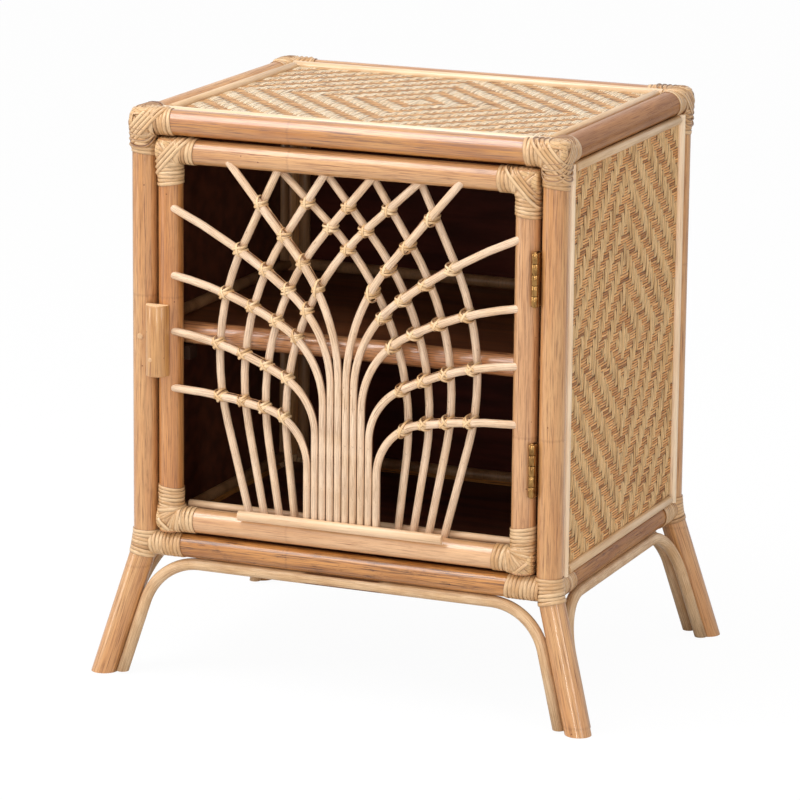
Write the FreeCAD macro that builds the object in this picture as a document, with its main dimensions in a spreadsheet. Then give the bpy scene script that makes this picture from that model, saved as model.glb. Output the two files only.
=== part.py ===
import FreeCAD, Part
import os
import re
from math import acos, atan2, ceil, cos, degrees, hypot, pi, radians, sin, sqrt, tan

import Sketcher

# Rattan storage side table with a lattice door.
# Frame: origin on the floor under the middle of the table, +X right, +Y back, +Z up; the door faces -Y.

Vector = FreeCAD.Vector
Rotation = FreeCAD.Rotation
doc = FreeCAD.newDocument("rattan_side_table")

# ---------------------------------------------------------------- driving dimensions
sheet = doc.addObject("Spreadsheet::Sheet", "sizes")
DIMENSIONS = {
    "post_spacing_x": 421,  # axis of left post to axis of right post
    "post_spacing_y": 334,  # axis of front post to axis of back post
    "top_rail_height": 547.5,  # axis of the top rails over the floor
    "base_rail_height": 132,  # axis of the base rails over the floor
    "pole_diameter": 25,  # posts and top rails
    "base_rail_diameter": 23,  # base rails
    "post_top_rise": 11,  # post top over the axis of the top rails
    "splay_x": 38,  # sideways run of a leg from base rail to floor
    "splay_y": 17.5,  # run of a leg to the front or back
    "leg_bend_radius": 100,  # bend where the post turns into the leg
    "joint_gap": 0.1,  # play between pieces that seat on each other
    "arch_diameter": 11.6,  # bent cane that braces two legs
    "arch_bend_radius": 58,  # axis of the arch at its two shoulders
    "arch_foot_rise": 2,  # lower end of an arch over the floor
    "panel_rise": 8,  # outer face of a woven mat outside the pole axes
    "mat_thickness": 2.4,  # woven mat
    "board_thickness": 6,  # plywood behind the mats
    "bead_radius": 4.4,  # half-round beads round the panels
    "floor_rise": 6.5,  # top of the floor board over the axis of the base rails
    "floor_thickness": 9,  # floor board
    "shelf_height": 341,  # top of the shelf board over the floor
    "shelf_thickness": 9,  # shelf board
    "shelf_rail_diameter": 22,  # pole along the front edge of the shelf
    "shelf_rail_drop": 3,  # axis of that pole under the shelf board top
    "shelf_setback": 4,  # that pole behind the back of the door
    "binding_thickness": 1,  # wound peel over a pole
    "binding_reach": 18,  # corner binding along a top rail, past the post
    "binding_drop": 32,  # corner binding down a post from the rail axis
    "base_binding_reach": 29,  # binding along a base rail, past the post
    "base_band_height": 26,  # binding round a post at the base rails
    "door_gap": 2.6,  # door to posts and rails, all round
    "door_pole_diameter": 24,  # stiles and rails of the door
    "door_binding_reach": 16,  # binding along a door rail, past the stile
    "door_binding_drop": 33,  # binding along a stile from the rail axis
    "door_binding_thickness": 1,  # wound peel over a door pole
    "cane_diameter": 7.7,  # canes of the lattice
    "layer_play": 0.1,  # play between layers of canes
    "cane_end_depth": 5,  # how deep a scooped cane end reaches round a door pole
    "stem_play": 0.3,  # between the stems of the fan canes
    "station_pitch": 48,  # cane ends along the top rail of the door
    "fan_top_reach": 120,  # end of the highest fan cane along the top rail
    "fan_top_shoulder": 187,  # bend of the highest fan cane
    "upright_foot_pitch": 16,  # upright canes along the bottom rail
    "upright_bend_radius": 260,  # belly of the upright canes
    "tie_play": 0.3,  # tie to the canes that it binds
    "tie_width": 4.5,  # peel round a crossing of two canes
    "tie_thickness": 0.8,  # its thickness
    "strip_width": 10,  # cover strip across the feet of the canes
    "strip_rise": 13.5,  # middle of the cover strip over the rail axis
    "strip_length": 212,  # its length
    "sill_bead_width": 8,  # bead behind the feet of the canes
    "sill_bead_rise": 12,  # middle of that bead over the rail axis
    "handle_length": 70,  # half-pole handle on the left stile
    "handle_width": 24,  # its width
    "handle_height": 13,  # how far it stands out
    "handle_rise": 337,  # middle of the handle over the floor
    "handle_rim": 1.5,  # chamfer of its ends
    "handle_overhang": 8,  # middle of the handle outside the stile axis
    "hinge_length": 51,  # butt hinge
    "hinge_half_spacing": 91,  # hinge middles from the middle of the door
    "hinge_knuckle_radius": 3.5,  # barrel of the hinge
    "hinge_pin_radius": 1.6,  # pin of the hinge
    "hinge_pin_play": 0.08,  # bore of a knuckle round its pin
    "hinge_knuckle_gap": 0.4,  # between neighbouring knuckles
    "hinge_leaf_thickness": 1.5,  # leaf of the hinge
    "hinge_leaf_depth": 15,  # leaf behind the pin axis
    "hinge_leaf_margin": 0.6,  # flat in the post for the frame leaf
    "hinge_pin_forward": 11.5,  # pin axis in front of the pole axes
    "catch_width": 28,  # magnetic catch under the shelf pole
    "catch_height": 13,  # its height
    "catch_depth": 16,  # its depth
    "catch_play": 0.4,  # catch to the strike plate
    "strike_width": 14,  # steel plate on the stile
    "strike_height": 26,  # its height
    "strike_thickness": 1,  # its thickness
}
size = {alias: float(value) for alias, value in DIMENSIONS.items()}
for row, (alias, value) in enumerate(DIMENSIONS.items(), 1):
    sheet.set("A%d" % row, alias)
    sheet.set("B%d" % row, str(value))
    sheet.setAlias("B%d" % row, alias)
doc.recompute()

PARTS = []


def formula(text):
    """An expression in which every sheet alias is written out as sizes.alias."""
    return re.sub("[a-z_]+", lambda word: ("sizes." if word[0] in size else "") + word[0], str(text))


def add(kind, name):
    return doc.addObject(kind, name)


def bind(thing, **formulas):
    for prop, text in formulas.items():
        thing.setExpression(prop, formula(text))


def place(thing, x=0, y=0, z=0, turn=None):
    """Puts a thing at three formulas, turned about the axis (ax, ay, az) by an angle in degrees."""
    if turn:
        thing.Placement = FreeCAD.Placement(Vector(), Rotation(Vector(*turn[0]), turn[1]))
    for axis, text in zip("xyz", (x, y, z)):
        thing.setExpression("Placement.Base." + axis, formula(text))
    return thing


ALONG = {"z": None, "x": ((0, 1, 0), 90), "y": ((1, 0, 0), -90), "-x": ((0, 1, 0), -90), "-y": ((1, 0, 0), 90)}


def cylinder(name, radius, height, x, y, z, along="z"):
    """A round bar that starts at (x, y, z) and runs along an axis."""
    bar = add("Part::Cylinder", name)
    bind(bar, Radius=radius, Height=height)
    return place(bar, x, y, z, ALONG[along])


def bead(name, radius, rise, length, x, y, z, along, up):
    """A bar from (x, y, z) along x, y or z with a flat back, two sloping sides and a face that stands out by rise."""
    bar = add("Part::Wedge", name)
    bind(bar, Xmin="-(%s)" % radius, Xmax=radius, X2min="-(%s) / 2" % radius, X2max="(%s) / 2" % radius,
         Ymax=rise, Zmax=length, Z2max=length)
    for prop in ("Ymin", "Zmin", "Z2min"):
        setattr(bar, prop, 0)
    run = Vector(*{"x": (1, 0, 0), "y": (0, 1, 0), "z": (0, 0, 1)}[along])
    bulge = Vector(*up)
    bar.Placement = FreeCAD.Placement(Vector(), Rotation(bulge.cross(run), bulge, run, "ZXY"))
    for axis, text in zip("xyz", (x, y, z)):
        bar.setExpression("Placement.Base." + axis, formula(text))
    return bar


def block(name, length, width, height, x, y, z):
    """A block centred on x and y whose lowest face is at z."""
    box = add("Part::Box", name)
    bind(box, Length=length, Width=width, Height=height)
    return place(box, "%s - (%s) / 2" % (x, length), "%s - (%s) / 2" % (y, width), z)


def cut(name, base, *tools):
    for number, tool in enumerate(tools, 1):
        result = add("Part::Cut", name if number == len(tools) else "%s_step_%d" % (name, number))
        result.Base = base
        result.Tool = tool
        base = result
    return base


def group(name, members):
    bunch = add("Part::Compound", name)
    bunch.Links = members
    return bunch


def shape(name, solids):
    """A piece made by functions, one solid or several alike."""
    thing = add("Part::Feature", name)
    thing.Shape = solids[0] if len(solids) == 1 else Part.makeCompound(solids)
    thing.Placement = FreeCAD.Placement()
    return thing


def part(thing, label):
    """Marks a thing as one of the separate pieces of the table."""
    thing.Label = label
    PARTS.append(thing)
    return thing


def origin_plane(body, role):
    return next(f for f in body.Origin.OriginFeatures if f.Role == role)


def sketch_on(body, name, role):
    sketch = body.newObject("Sketcher::SketchObject", name)
    sketch.AttachmentSupport = [(origin_plane(body, role), "")]
    sketch.MapMode = "FlatFace"
    return sketch


def dimension(sketch, kind, *where, value, text, name):
    """A named dimension of a sketch, bound to a formula."""
    number = sketch.addConstraint(Sketcher.Constraint(kind, *where, value))
    sketch.renameConstraint(number, name)
    sketch.setExpression("Constraints." + name, formula(text))


def pipe(body, name, profile, spine):
    sweep = body.newObject("PartDesign::AdditivePipe", name)
    sweep.Profile = profile
    sweep.Spine = spine
    sweep.Transition = "Transformed"
    body.Tip = sweep
    return sweep


SIDES = (("left", -1), ("right", 1))
ENDS = (("front", -1), ("back", 1))
HALF_X = "post_spacing_x / 2"
HALF_Y = "post_spacing_y / 2"
POLE = size["pole_diameter"] / 2
X0 = size["post_spacing_x"] / 2
Y0 = size["post_spacing_y"] / 2
TOP_Z = size["top_rail_height"]
BASE_Z = size["base_rail_height"]
GAP = size["joint_gap"]

# ---------------------------------------------------------------- bent canes
# Every bent cane is eight-sided and follows chords of its bends, which keeps its faces few and flat.
CHORD_TURN = 15
CANE_SIDES = 8


def arc_points(centre, radius, start, end):
    """Points along an arc from angle to angle, in degrees, close enough together for a bent cane."""
    steps = ceil(abs(end - start) / CHORD_TURN)
    turns = [radians(start + (end - start) * k / steps) for k in range(steps + 1)]
    return [(centre[0] + radius * cos(turn), centre[1] + radius * sin(turn)) for turn in turns]


def ring(flat, middle, direction, sides):
    """A regular outline square to a direction, its flats this far from the middle."""
    across = direction.cross(Vector(0, 1, 0)).normalize()
    upward = across.cross(direction).normalize()
    corner = flat / cos(pi / sides)
    turns = [(k + 0.5) * 2 * pi / sides for k in range(sides + 1)]
    return Part.makePolygon([middle + (across * cos(turn) + upward * sin(turn)) * corner for turn in turns])


def tube(path, radius, sides=CANE_SIDES):
    """A cane along a path of chords, mitred at each, as thick across its flats as a round one."""
    start, then = path.OrderedVertexes[0].Point, path.OrderedVertexes[1].Point
    section = ring(radius, start, (then - start).normalize(), sides)
    return path.makePipeShell([section], True, False, 1)


# ---------------------------------------------------------------- corner posts with bent legs
# Each post is one pole: straight down to the base rails, one bend, then a leg that runs out to the floor.
# It is drawn in the plane of its bend and turned about the post axis to its corner.
SPLAY = "sqrt(splay_x ^ 2 + splay_y ^ 2)"
LEAN = "atan2(%s; base_rail_height)" % SPLAY
LEAN_NOW = atan2(hypot(size["splay_x"], size["splay_y"]), BASE_Z)


def bent_pole(name):
    body = add("PartDesign::Body", name)
    spare = 2 * POLE
    bend = size["leg_bend_radius"]
    top = TOP_Z + size["post_top_rise"]
    bend_top = BASE_Z + bend * tan(LEAN_NOW / 2)
    foot_x = hypot(size["splay_x"], size["splay_y"]) + spare * tan(LEAN_NOW)
    path = sketch_on(body, name + "_path", "XZ_Plane")
    elbow = Vector(bend * (1 - cos(LEAN_NOW)), bend_top - bend * sin(LEAN_NOW), 0)
    path.addGeometry(Part.LineSegment(Vector(0, top, 0), Vector(0, bend_top, 0)), False)
    turn = Part.Circle(Vector(bend, bend_top, 0), Vector(0, 0, 1), bend)
    path.addGeometry(Part.ArcOfCircle(turn, pi, pi + LEAN_NOW), False)
    path.addGeometry(Part.LineSegment(elbow, Vector(foot_x, -spare, 0)), False)
    path.addConstraint(Sketcher.Constraint("Tangent", 0, 2, 1, 1))
    path.addConstraint(Sketcher.Constraint("Tangent", 1, 2, 2, 1))
    path.addConstraint(Sketcher.Constraint("Vertical", 0))
    path.addConstraint(Sketcher.Constraint("PointOnObject", 0, 1, -2))
    dimension(path, "DistanceY", -1, 1, 0, 1, value=top, text="top_rail_height + post_top_rise", name="top")
    dimension(path, "Radius", 1, value=bend, text="leg_bend_radius", name="bend")
    dimension(path, "DistanceY", 2, 2, -1, 1, value=spare, text="pole_diameter", name="below_floor")
    dimension(path, "DistanceX", -1, 1, 2, 2, value=foot_x,
              text="%s * (1 + pole_diameter / base_rail_height)" % SPLAY, name="foot")
    dimension(path, "DistanceY", -1, 1, 0, 2, value=bend_top,
              text="base_rail_height + leg_bend_radius * tan(%s / 2)" % LEAN, name="bend_top")
    profile = sketch_on(body, name + "_profile", "XY_Plane")
    profile.AttachmentOffset = FreeCAD.Placement(Vector(0, 0, top), Rotation())
    profile.setExpression("AttachmentOffset.Base.z", formula("top_rail_height + post_top_rise"))
    profile.addGeometry(Part.Circle(Vector(), Vector(0, 0, 1), POLE), False)
    profile.addConstraint(Sketcher.Constraint("Coincident", 0, 3, -1, 1))
    dimension(profile, "Radius", 0, value=POLE, text="pole_diameter / 2", name="radius")
    pipe(body, name + "_pole", profile, path)
    below = sketch_on(body, name + "_floor", "XY_Plane")
    below.addGeometry(Part.Circle(Vector(), Vector(0, 0, 1), foot_x + 4 * POLE), False)
    below.addConstraint(Sketcher.Constraint("Coincident", 0, 3, -1, 1))
    dimension(below, "Radius", 0, value=foot_x + 4 * POLE, text="%s + 3 * pole_diameter" % SPLAY, name="radius")
    foot = body.newObject("PartDesign::Pocket", name + "_foot")
    foot.Profile = below
    foot.Type = "Length"
    foot.setExpression("Length", formula("3 * pole_diameter"))
    foot.Reversed = False
    body.Tip = foot
    return body


BEND_TOP = BASE_Z + size["leg_bend_radius"] * tan(LEAN_NOW / 2)
BEND_STEPS = 4
BEND_SAG = size["leg_bend_radius"] * (1 - cos(LEAN_NOW / 2 / BEND_STEPS))
SCOOP_SIDES = 12


def bent_bar(flat, sx, sy, low, high, sides):
    """A bar of flat faces round a bent pole, from one height to another."""
    bend = size["leg_bend_radius"]
    turns = [LEAN_NOW * k / BEND_STEPS for k in range(BEND_STEPS + 1)]
    runs = [(bend * (1 - cos(turn)), BEND_TOP - bend * sin(turn)) for turn in turns]
    runs = [(0, high)] + [(run, z) for run, z in runs if low < z < high] + [((BASE_Z - low) * tan(LEAN_NOW), low)]
    bearing = atan2(sy * size["splay_y"], sx * size["splay_x"])
    path = Part.makePolygon([Vector(sx * X0 + run * cos(bearing), sy * Y0 + run * sin(bearing), z)
                             for run, z in runs])
    return tube(path, flat + BEND_SAG, sides)


posts = {}
post_scoops = {}
leg_scoops = {}
for side, sx in SIDES:
    for end, sy in ENDS:
        bearing = degrees(atan2(sy * size["splay_y"], sx * size["splay_x"]))
        corner = "%s_%s" % (end, side)
        x, y = "%d * %s" % (sx, HALF_X), "%d * %s" % (sy, HALF_Y)
        posts[corner] = place(bent_pole("pole_" + corner), x, y, 0, ((0, 0, 1), bearing))
        post_scoops[corner] = cylinder("scoop_" + corner, "pole_diameter / 2 + joint_gap",
                                       "top_rail_height + pole_diameter", x, y, 0)
        leg_scoops[corner] = shape("leg_scoop_" + corner, [
            bent_bar(POLE + GAP, sx, sy, BASE_Z - 2 * POLE, BASE_Z + 2 * POLE, SCOOP_SIDES)])

# ---------------------------------------------------------------- rails
# Every rail is a pole between two posts, its ends scooped to fit round them. The side rails, which come
# last, are also scooped round the front and back rails.
rails = {}
for level, height, girth in (("top", "top_rail_height", "pole_diameter"),
                             ("base", "base_rail_height", "base_rail_diameter")):
    scoops = {}
    round_post = post_scoops if level == "top" else leg_scoops
    for end, sy in ENDS:
        name = "%s_rail_%s" % (level, end)
        y = "%d * %s" % (sy, HALF_Y)
        pole = cylinder(name + "_pole", girth + " / 2", "post_spacing_x", "-" + HALF_X, y, height, "x")
        rails[name] = cut(name, pole, round_post[end + "_left"], round_post[end + "_right"])
        scoops[end] = cylinder(name + "_scoop", girth + " / 2 + joint_gap", "post_spacing_x",
                               "-" + HALF_X, y, height, "x")
    for side, sx in SIDES:
        name = "%s_rail_%s" % (level, side)
        x = "%d * %s" % (sx, HALF_X)
        pole = cylinder(name + "_pole", girth + " / 2", "post_spacing_y", x, "-" + HALF_Y, height, "y")
        rails[name] = cut(name, pole, round_post["front_" + side], round_post["back_" + side],
                          scoops["front"], scoops["back"])

# ---------------------------------------------------------------- leg arches
# Each arch is a cane bent like an inverted U: its crown runs under a base rail and its legs run down the
# inner sides of two legs. It is drawn flat and tilted about the rail axis to the slope of those legs.
ARCH_R = size["arch_diameter"] / 2
LEG_OFFSET = POLE + ARCH_R + GAP
CROWN_OFFSET = size["base_rail_diameter"] / 2 + ARCH_R + GAP


def leg_arch(span, run, cross_run):
    """An arch under a rail of this span, between legs that run out by run, in a plane that falls by cross_run."""
    slant = hypot(BASE_Z, cross_run)
    lean = atan2(run, slant)
    bend = size["arch_bend_radius"]
    corner = span / 2 + run / slant * CROWN_OFFSET - LEG_OFFSET / cos(lean)
    bend_x = corner - bend * tan((pi / 2 - lean) / 2)
    deep = slant + size["arch_diameter"]
    foot = (corner + (deep - CROWN_OFFSET) * tan(lean), -deep)
    half = arc_points((bend_x, -CROWN_OFFSET - bend), bend, 90, degrees(lean)) + [foot]
    points = [(-x, z) for x, z in reversed(half)] + half
    return tube(Part.makePolygon([Vector(x, 0, z) for x, z in points]), ARCH_R)


FLOOR_SPAN = "post_spacing_x + post_spacing_y + splay_x + splay_y"
floor_block = block("floor_level", FLOOR_SPAN, FLOOR_SPAN, "2 * pole_diameter",
                    0, 0, "arch_foot_rise - 2 * pole_diameter")
arches = {}
for end, sy in ENDS:
    cane = shape("leg_arch_%s_cane" % end, [leg_arch(size["post_spacing_x"], size["splay_x"], size["splay_y"])])
    tilt = degrees(atan2(size["splay_y"], BASE_Z))
    place(cane, 0, "%d * %s" % (sy, HALF_Y), "base_rail_height", ((1, 0, 0), sy * tilt))
    arches[end] = cut("leg_arch_" + end, cane, floor_block)
for side, sx in SIDES:
    cane = shape("leg_arch_%s_cane" % side, [leg_arch(size["post_spacing_y"], size["splay_y"], size["splay_x"])])
    tilt = degrees(atan2(size["splay_x"], BASE_Z))
    place(cane, "%d * %s" % (sx, HALF_X), 0, "base_rail_height")
    turned = Rotation(Vector(0, 1, 0), -sx * tilt).multiply(Rotation(Vector(0, 0, 1), 90))
    cane.Placement = FreeCAD.Placement(cane.Placement.Base, turned)
    arches[side] = cut("leg_arch_" + side, cane, floor_block)

doc.recompute()

# ---------------------------------------------------------------- panels
# A side panel is plywood between the posts and rails. Beads lie on its rim against the poles, and a woven
# mat fills the field between them. The top is built the same way, and the back is plain plywood and beads.
OPEN_X = "(post_spacing_x - pole_diameter - 2 * joint_gap)"
OPEN_Y = "(post_spacing_y - pole_diameter - 2 * joint_gap)"
OPEN_LOW = "(base_rail_height + base_rail_diameter / 2 + joint_gap)"
OPEN_HIGH = "(top_rail_height - pole_diameter / 2 - joint_gap)"
OPEN_Z = "(%s - %s)" % (OPEN_HIGH, OPEN_LOW)
MAT_IN = "(panel_rise - mat_thickness)"
BOARD_IN = "(panel_rise - mat_thickness - joint_gap - board_thickness)"
BEAD_RISE = "(mat_thickness + joint_gap + bead_radius)"
BEAD_SEAT = "(sqrt((pole_diameter / 2 + joint_gap) ^ 2 - %s ^ 2) + bead_radius)" % MAT_IN
BASE_BEAD_SEAT = "(sqrt((base_rail_diameter / 2 + joint_gap) ^ 2 - %s ^ 2) + bead_radius)" % MAT_IN
BEAD_INSIDE = "(bead_radius + joint_gap)"


def frame_beads(name, along_a, half_a, along_b, half_b, centre, up):
    """Four beads round a panel: two whole ones along a, two along b between them."""
    a = "xyz".index(along_a)
    b = "xyz".index(along_b)
    beads = []
    for sign in (-1, 1):
        start = list(centre)
        start[a] = "%s - (%s)" % (centre[a], half_a)
        start[b] = "%s + %d * (%s)" % (centre[b], sign, half_b)
        beads.append(bead("%s_%s_%d" % (name, along_a, sign + 1), "bead_radius", BEAD_RISE, "2 * (%s)" % half_a,
                          *start, along_a, up))
        start = list(centre)
        start[a] = "%s + %d * (%s - bead_radius)" % (centre[a], sign, half_a)
        start[b] = "%s - (%s) + bead_radius + joint_gap" % (centre[b], half_b)
        beads.append(bead("%s_%s_%d" % (name, along_b, sign + 1), "bead_radius", BEAD_RISE,
                          "2 * (%s - bead_radius - joint_gap)" % half_b, *start, along_b, up))
    return group(name, beads)


BEAD_LOW = "(base_rail_height + %s)" % BASE_BEAD_SEAT
BEAD_HIGH = "(top_rail_height - %s)" % BEAD_SEAT
BEAD_MID = "((%s + %s) / 2)" % (BEAD_LOW, BEAD_HIGH)
BEAD_HALF = "((%s - %s) / 2)" % (BEAD_HIGH, BEAD_LOW)

top_board = block("top_board", OPEN_X, OPEN_Y, "board_thickness", 0, 0, "top_rail_height + " + BOARD_IN)
top_mat = block("top_woven_mat", "2 * (%s - %s - %s)" % (HALF_X, BEAD_SEAT, BEAD_INSIDE),
                "2 * (%s - %s - %s)" % (HALF_Y, BEAD_SEAT, BEAD_INSIDE), "mat_thickness",
                0, 0, "top_rail_height + " + MAT_IN)
top_beads = frame_beads("top_beads", "x", "%s - %s + bead_radius" % (HALF_X, BEAD_SEAT), "y",
                        "%s - %s" % (HALF_Y, BEAD_SEAT), (0, 0, "top_rail_height + " + MAT_IN), (0, 0, 1))
side_pieces = {}
for side, sx in SIDES:
    board = block("side_board_" + side, "board_thickness", OPEN_Y, OPEN_Z,
                  "%d * (%s + %s + board_thickness / 2)" % (sx, HALF_X, BOARD_IN), 0, OPEN_LOW)
    mat = block("side_woven_mat_" + side, "mat_thickness", "2 * (%s - %s - %s)" % (HALF_Y, BEAD_SEAT, BEAD_INSIDE),
                "2 * (%s - %s)" % (BEAD_HALF, BEAD_INSIDE),
                "%d * (%s + %s + mat_thickness / 2)" % (sx, HALF_X, MAT_IN), 0,
                "%s - %s + %s" % (BEAD_MID, BEAD_HALF, BEAD_INSIDE))
    beads = frame_beads("side_beads_" + side, "z", "%s + bead_radius" % BEAD_HALF, "y",
                        "%s - %s" % (HALF_Y, BEAD_SEAT),
                        ("%d * (%s + %s)" % (sx, HALF_X, MAT_IN), 0, BEAD_MID), (sx, 0, 0))
    side_pieces[side] = (board, mat, beads)
back_board = block("back_board", OPEN_X, "board_thickness", OPEN_Z,
                   0, "%s + %s + board_thickness / 2" % (HALF_Y, BOARD_IN), OPEN_LOW)
back_beads = frame_beads("back_beads", "z", "%s + bead_radius" % BEAD_HALF, "x",
                         "%s - %s" % (HALF_X, BEAD_SEAT),
                         (0, "%s + %s" % (HALF_Y, MAT_IN), BEAD_MID), (0, 1, 0))

# ---------------------------------------------------------------- inside
# The floor board lies between the base rails. The shelf lies between the side boards, cut out round the
# back posts, behind a pole that finishes its front edge.
WALL = "(%s + %s)" % (HALF_X, BOARD_IN)
BACK_WALL = "(%s + %s)" % (HALF_Y, BOARD_IN)
FLOOR_X = "(post_spacing_x - base_rail_diameter - 2 * joint_gap)"
FLOOR_Y = "(post_spacing_y - base_rail_diameter - 2 * joint_gap)"
SHELF_RAIL_Y = "(-%s + door_pole_diameter / 2 + shelf_setback + shelf_rail_diameter / 2)" % HALF_Y
SHELF_RAIL_Z = "(shelf_height - shelf_rail_drop)"
SHELF_FRONT = "(%s + shelf_rail_diameter / 2 + joint_gap)" % SHELF_RAIL_Y
SHELF_DEPTH = "(%s - joint_gap - %s)" % (BACK_WALL, SHELF_FRONT)

bottom_board = cut("bottom_board", block("bottom_board_blank", FLOOR_X, FLOOR_Y, "floor_thickness", 0, 0,
                                         "base_rail_height + floor_rise - floor_thickness"),
                   *post_scoops.values())
shelf_rail = cylinder("shelf_front_rail", "shelf_rail_diameter / 2", "2 * (%s - joint_gap)" % WALL,
                      "-%s + joint_gap" % WALL, SHELF_RAIL_Y, SHELF_RAIL_Z, "x")
shelf_board = cut("shelf_board", block("shelf_board_blank", "2 * (%s - joint_gap)" % WALL, SHELF_DEPTH,
                                       "shelf_thickness", 0, "(%s + %s - joint_gap) / 2" % (SHELF_FRONT, BACK_WALL),
                                       "shelf_height - shelf_thickness"),
                  post_scoops["back_left"], post_scoops["back_right"])


# ---------------------------------------------------------------- door frame
# Two stiles run the full height of the door and two rails are scooped to fit between them.
DOOR_Y = "-" + HALF_Y
DOOR_RADIUS = "door_pole_diameter / 2"
STILE_X = "(post_spacing_x / 2 - pole_diameter / 2 - door_gap - door_pole_diameter / 2)"
DOOR_LOW = "(base_rail_height + base_rail_diameter / 2 + door_gap)"
DOOR_HIGH = "(top_rail_height - pole_diameter / 2 - door_gap)"
DOOR_MID = "((%s + %s) / 2)" % (DOOR_LOW, DOOR_HIGH)
RAIL_LOW = "(%s + %s)" % (DOOR_LOW, DOOR_RADIUS)
RAIL_HIGH = "(%s - %s)" % (DOOR_HIGH, DOOR_RADIUS)

DOOR_R = size["door_pole_diameter"] / 2
STILE_NOW = X0 - POLE - size["door_gap"] - DOOR_R
LOW_NOW = BASE_Z + size["base_rail_diameter"] / 2 + size["door_gap"]
HIGH_NOW = TOP_Z - POLE - size["door_gap"]
MID_NOW = (LOW_NOW + HIGH_NOW) / 2
RAIL_LOW_NOW = LOW_NOW + DOOR_R
RAIL_HIGH_NOW = HIGH_NOW - DOOR_R
DOOR_Y_NOW = -Y0

# hinges: two butt hinges whose knuckles stand in front of the gap between the right stile and its post
PIN_X = "(post_spacing_x / 2 - pole_diameter / 2 + hinge_leaf_margin - joint_gap - hinge_knuckle_radius)"
PIN_Y = "(-%s - hinge_pin_forward)" % HALF_Y
PIN_X_NOW = X0 - POLE + size["hinge_leaf_margin"] - GAP - size["hinge_knuckle_radius"]
PIN_Y_NOW = -Y0 - size["hinge_pin_forward"]
LEAF_FACE = "(hinge_knuckle_radius - hinge_leaf_thickness / 2)"
HINGE_LEVELS = (("lower", -1), ("upper", 1))
KNUCKLES = 3
NOTCH_DEPTH = "2 * (hinge_knuckle_radius / cos(15 deg) + hinge_knuckle_gap)"


def hinge_z(sign):
    return "(%s + %d * hinge_half_spacing - hinge_length / 2)" % (DOOR_MID, sign)


def leaf_pocket(name, x):
    """The flats in which the two leaves of one side lie, as blocks to cut away."""
    return [block("%s_%s" % (name, level), "2 * hinge_knuckle_radius", "hinge_leaf_depth + 2 * joint_gap",
                  "hinge_length + 2 * joint_gap", x, "%s + hinge_leaf_depth / 2" % PIN_Y,
                  hinge_z(sign) + " - joint_gap") for level, sign in HINGE_LEVELS]


def knuckle(name, length, z):
    """A rolled barrel round the pin, drawn with twelve sides."""
    barrel = add("Part::Prism", name)
    barrel.Polygon = 12
    bind(barrel, Circumradius="hinge_knuckle_radius / cos(15 deg)", Height=length)
    return place(barrel, PIN_X, PIN_Y, z, ((0, 0, 1), 15))


def hinge_leaves(name, hand, first, carries_pin):
    """The leaf and knuckles of one side of both hinges, and the pin where they carry it."""
    leaves = []
    pitch = "(hinge_length / %d)" % KNUCKLES
    for level, sign in HINGE_LEVELS:
        tag = "%s_%s" % (name, level)
        z = hinge_z(sign)
        leaf = block(tag + "_plate", "hinge_leaf_thickness", "hinge_leaf_depth", "hinge_length",
                     "%s + %d * %s" % (PIN_X, hand, LEAF_FACE), "%s + hinge_leaf_depth / 2" % PIN_Y, z)
        notches = [block("%s_notch_%d" % (tag, k), "hinge_knuckle_radius * 4", NOTCH_DEPTH,
                         pitch + " + hinge_knuckle_gap", PIN_X, PIN_Y,
                         "%s + %d * %s - hinge_knuckle_gap / 2" % (z, k, pitch))
                   for k in range(KNUCKLES) if k % 2 != first]
        barrels = [knuckle("%s_knuckle_%d" % (tag, k), pitch + " - hinge_knuckle_gap",
                           "%s + %d * %s + hinge_knuckle_gap / 2" % (z, k, pitch))
                   for k in range(KNUCKLES) if k % 2 == first]
        play = 0 if carries_pin else "hinge_pin_play"
        pin = cylinder(tag + "_pin", "hinge_pin_radius + %s" % play, "hinge_length - " + pitch,
                       PIN_X, PIN_Y, "%s + %s / 2" % (z, pitch))
        body = add("Part::MultiFuse", tag + "_body")
        body.Shapes = [cut(tag + "_notched", leaf, *notches)] + barrels + ([pin] if carries_pin else [])
        body.Refine = True
        leaves.append(body if carries_pin else cut(tag, body, pin))
    return group(name, leaves)


frame_leaves = hinge_leaves("hinge_frame_leaves", 1, 0, True)
door_leaves = hinge_leaves("hinge_door_leaves", -1, 1, False)
frame_flats = leaf_pocket("frame_leaf_flat", PIN_X + " + joint_gap")
door_flats = leaf_pocket("door_leaf_flat", PIN_X + " - joint_gap")

# catch: a magnet under the shelf pole holds a steel plate on the back of the left stile
STRIKE_BACK = "(%s + %s - joint_gap)" % (DOOR_Y, DOOR_RADIUS)
CATCH_Z = "(%s - shelf_rail_diameter / 2 - joint_gap - catch_height)" % SHELF_RAIL_Z
STRIKE_Z = "(%s + catch_height / 2 - strike_height / 2)" % CATCH_Z
catch = block("magnetic_catch", "catch_width", "catch_depth", "catch_height", "-" + STILE_X,
              "%s + catch_play + catch_depth / 2" % STRIKE_BACK, CATCH_Z)
strike = block("catch_strike_plate", "strike_width", "strike_thickness", "strike_height", "-" + STILE_X,
               STRIKE_BACK + " - strike_thickness / 2", STRIKE_Z)
strike_flat = block("strike_flat", "door_pole_diameter", "2 * strike_thickness", "strike_height + 2 * joint_gap",
                    "-" + STILE_X, STRIKE_BACK + " - joint_gap", STRIKE_Z + " - joint_gap")

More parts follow.
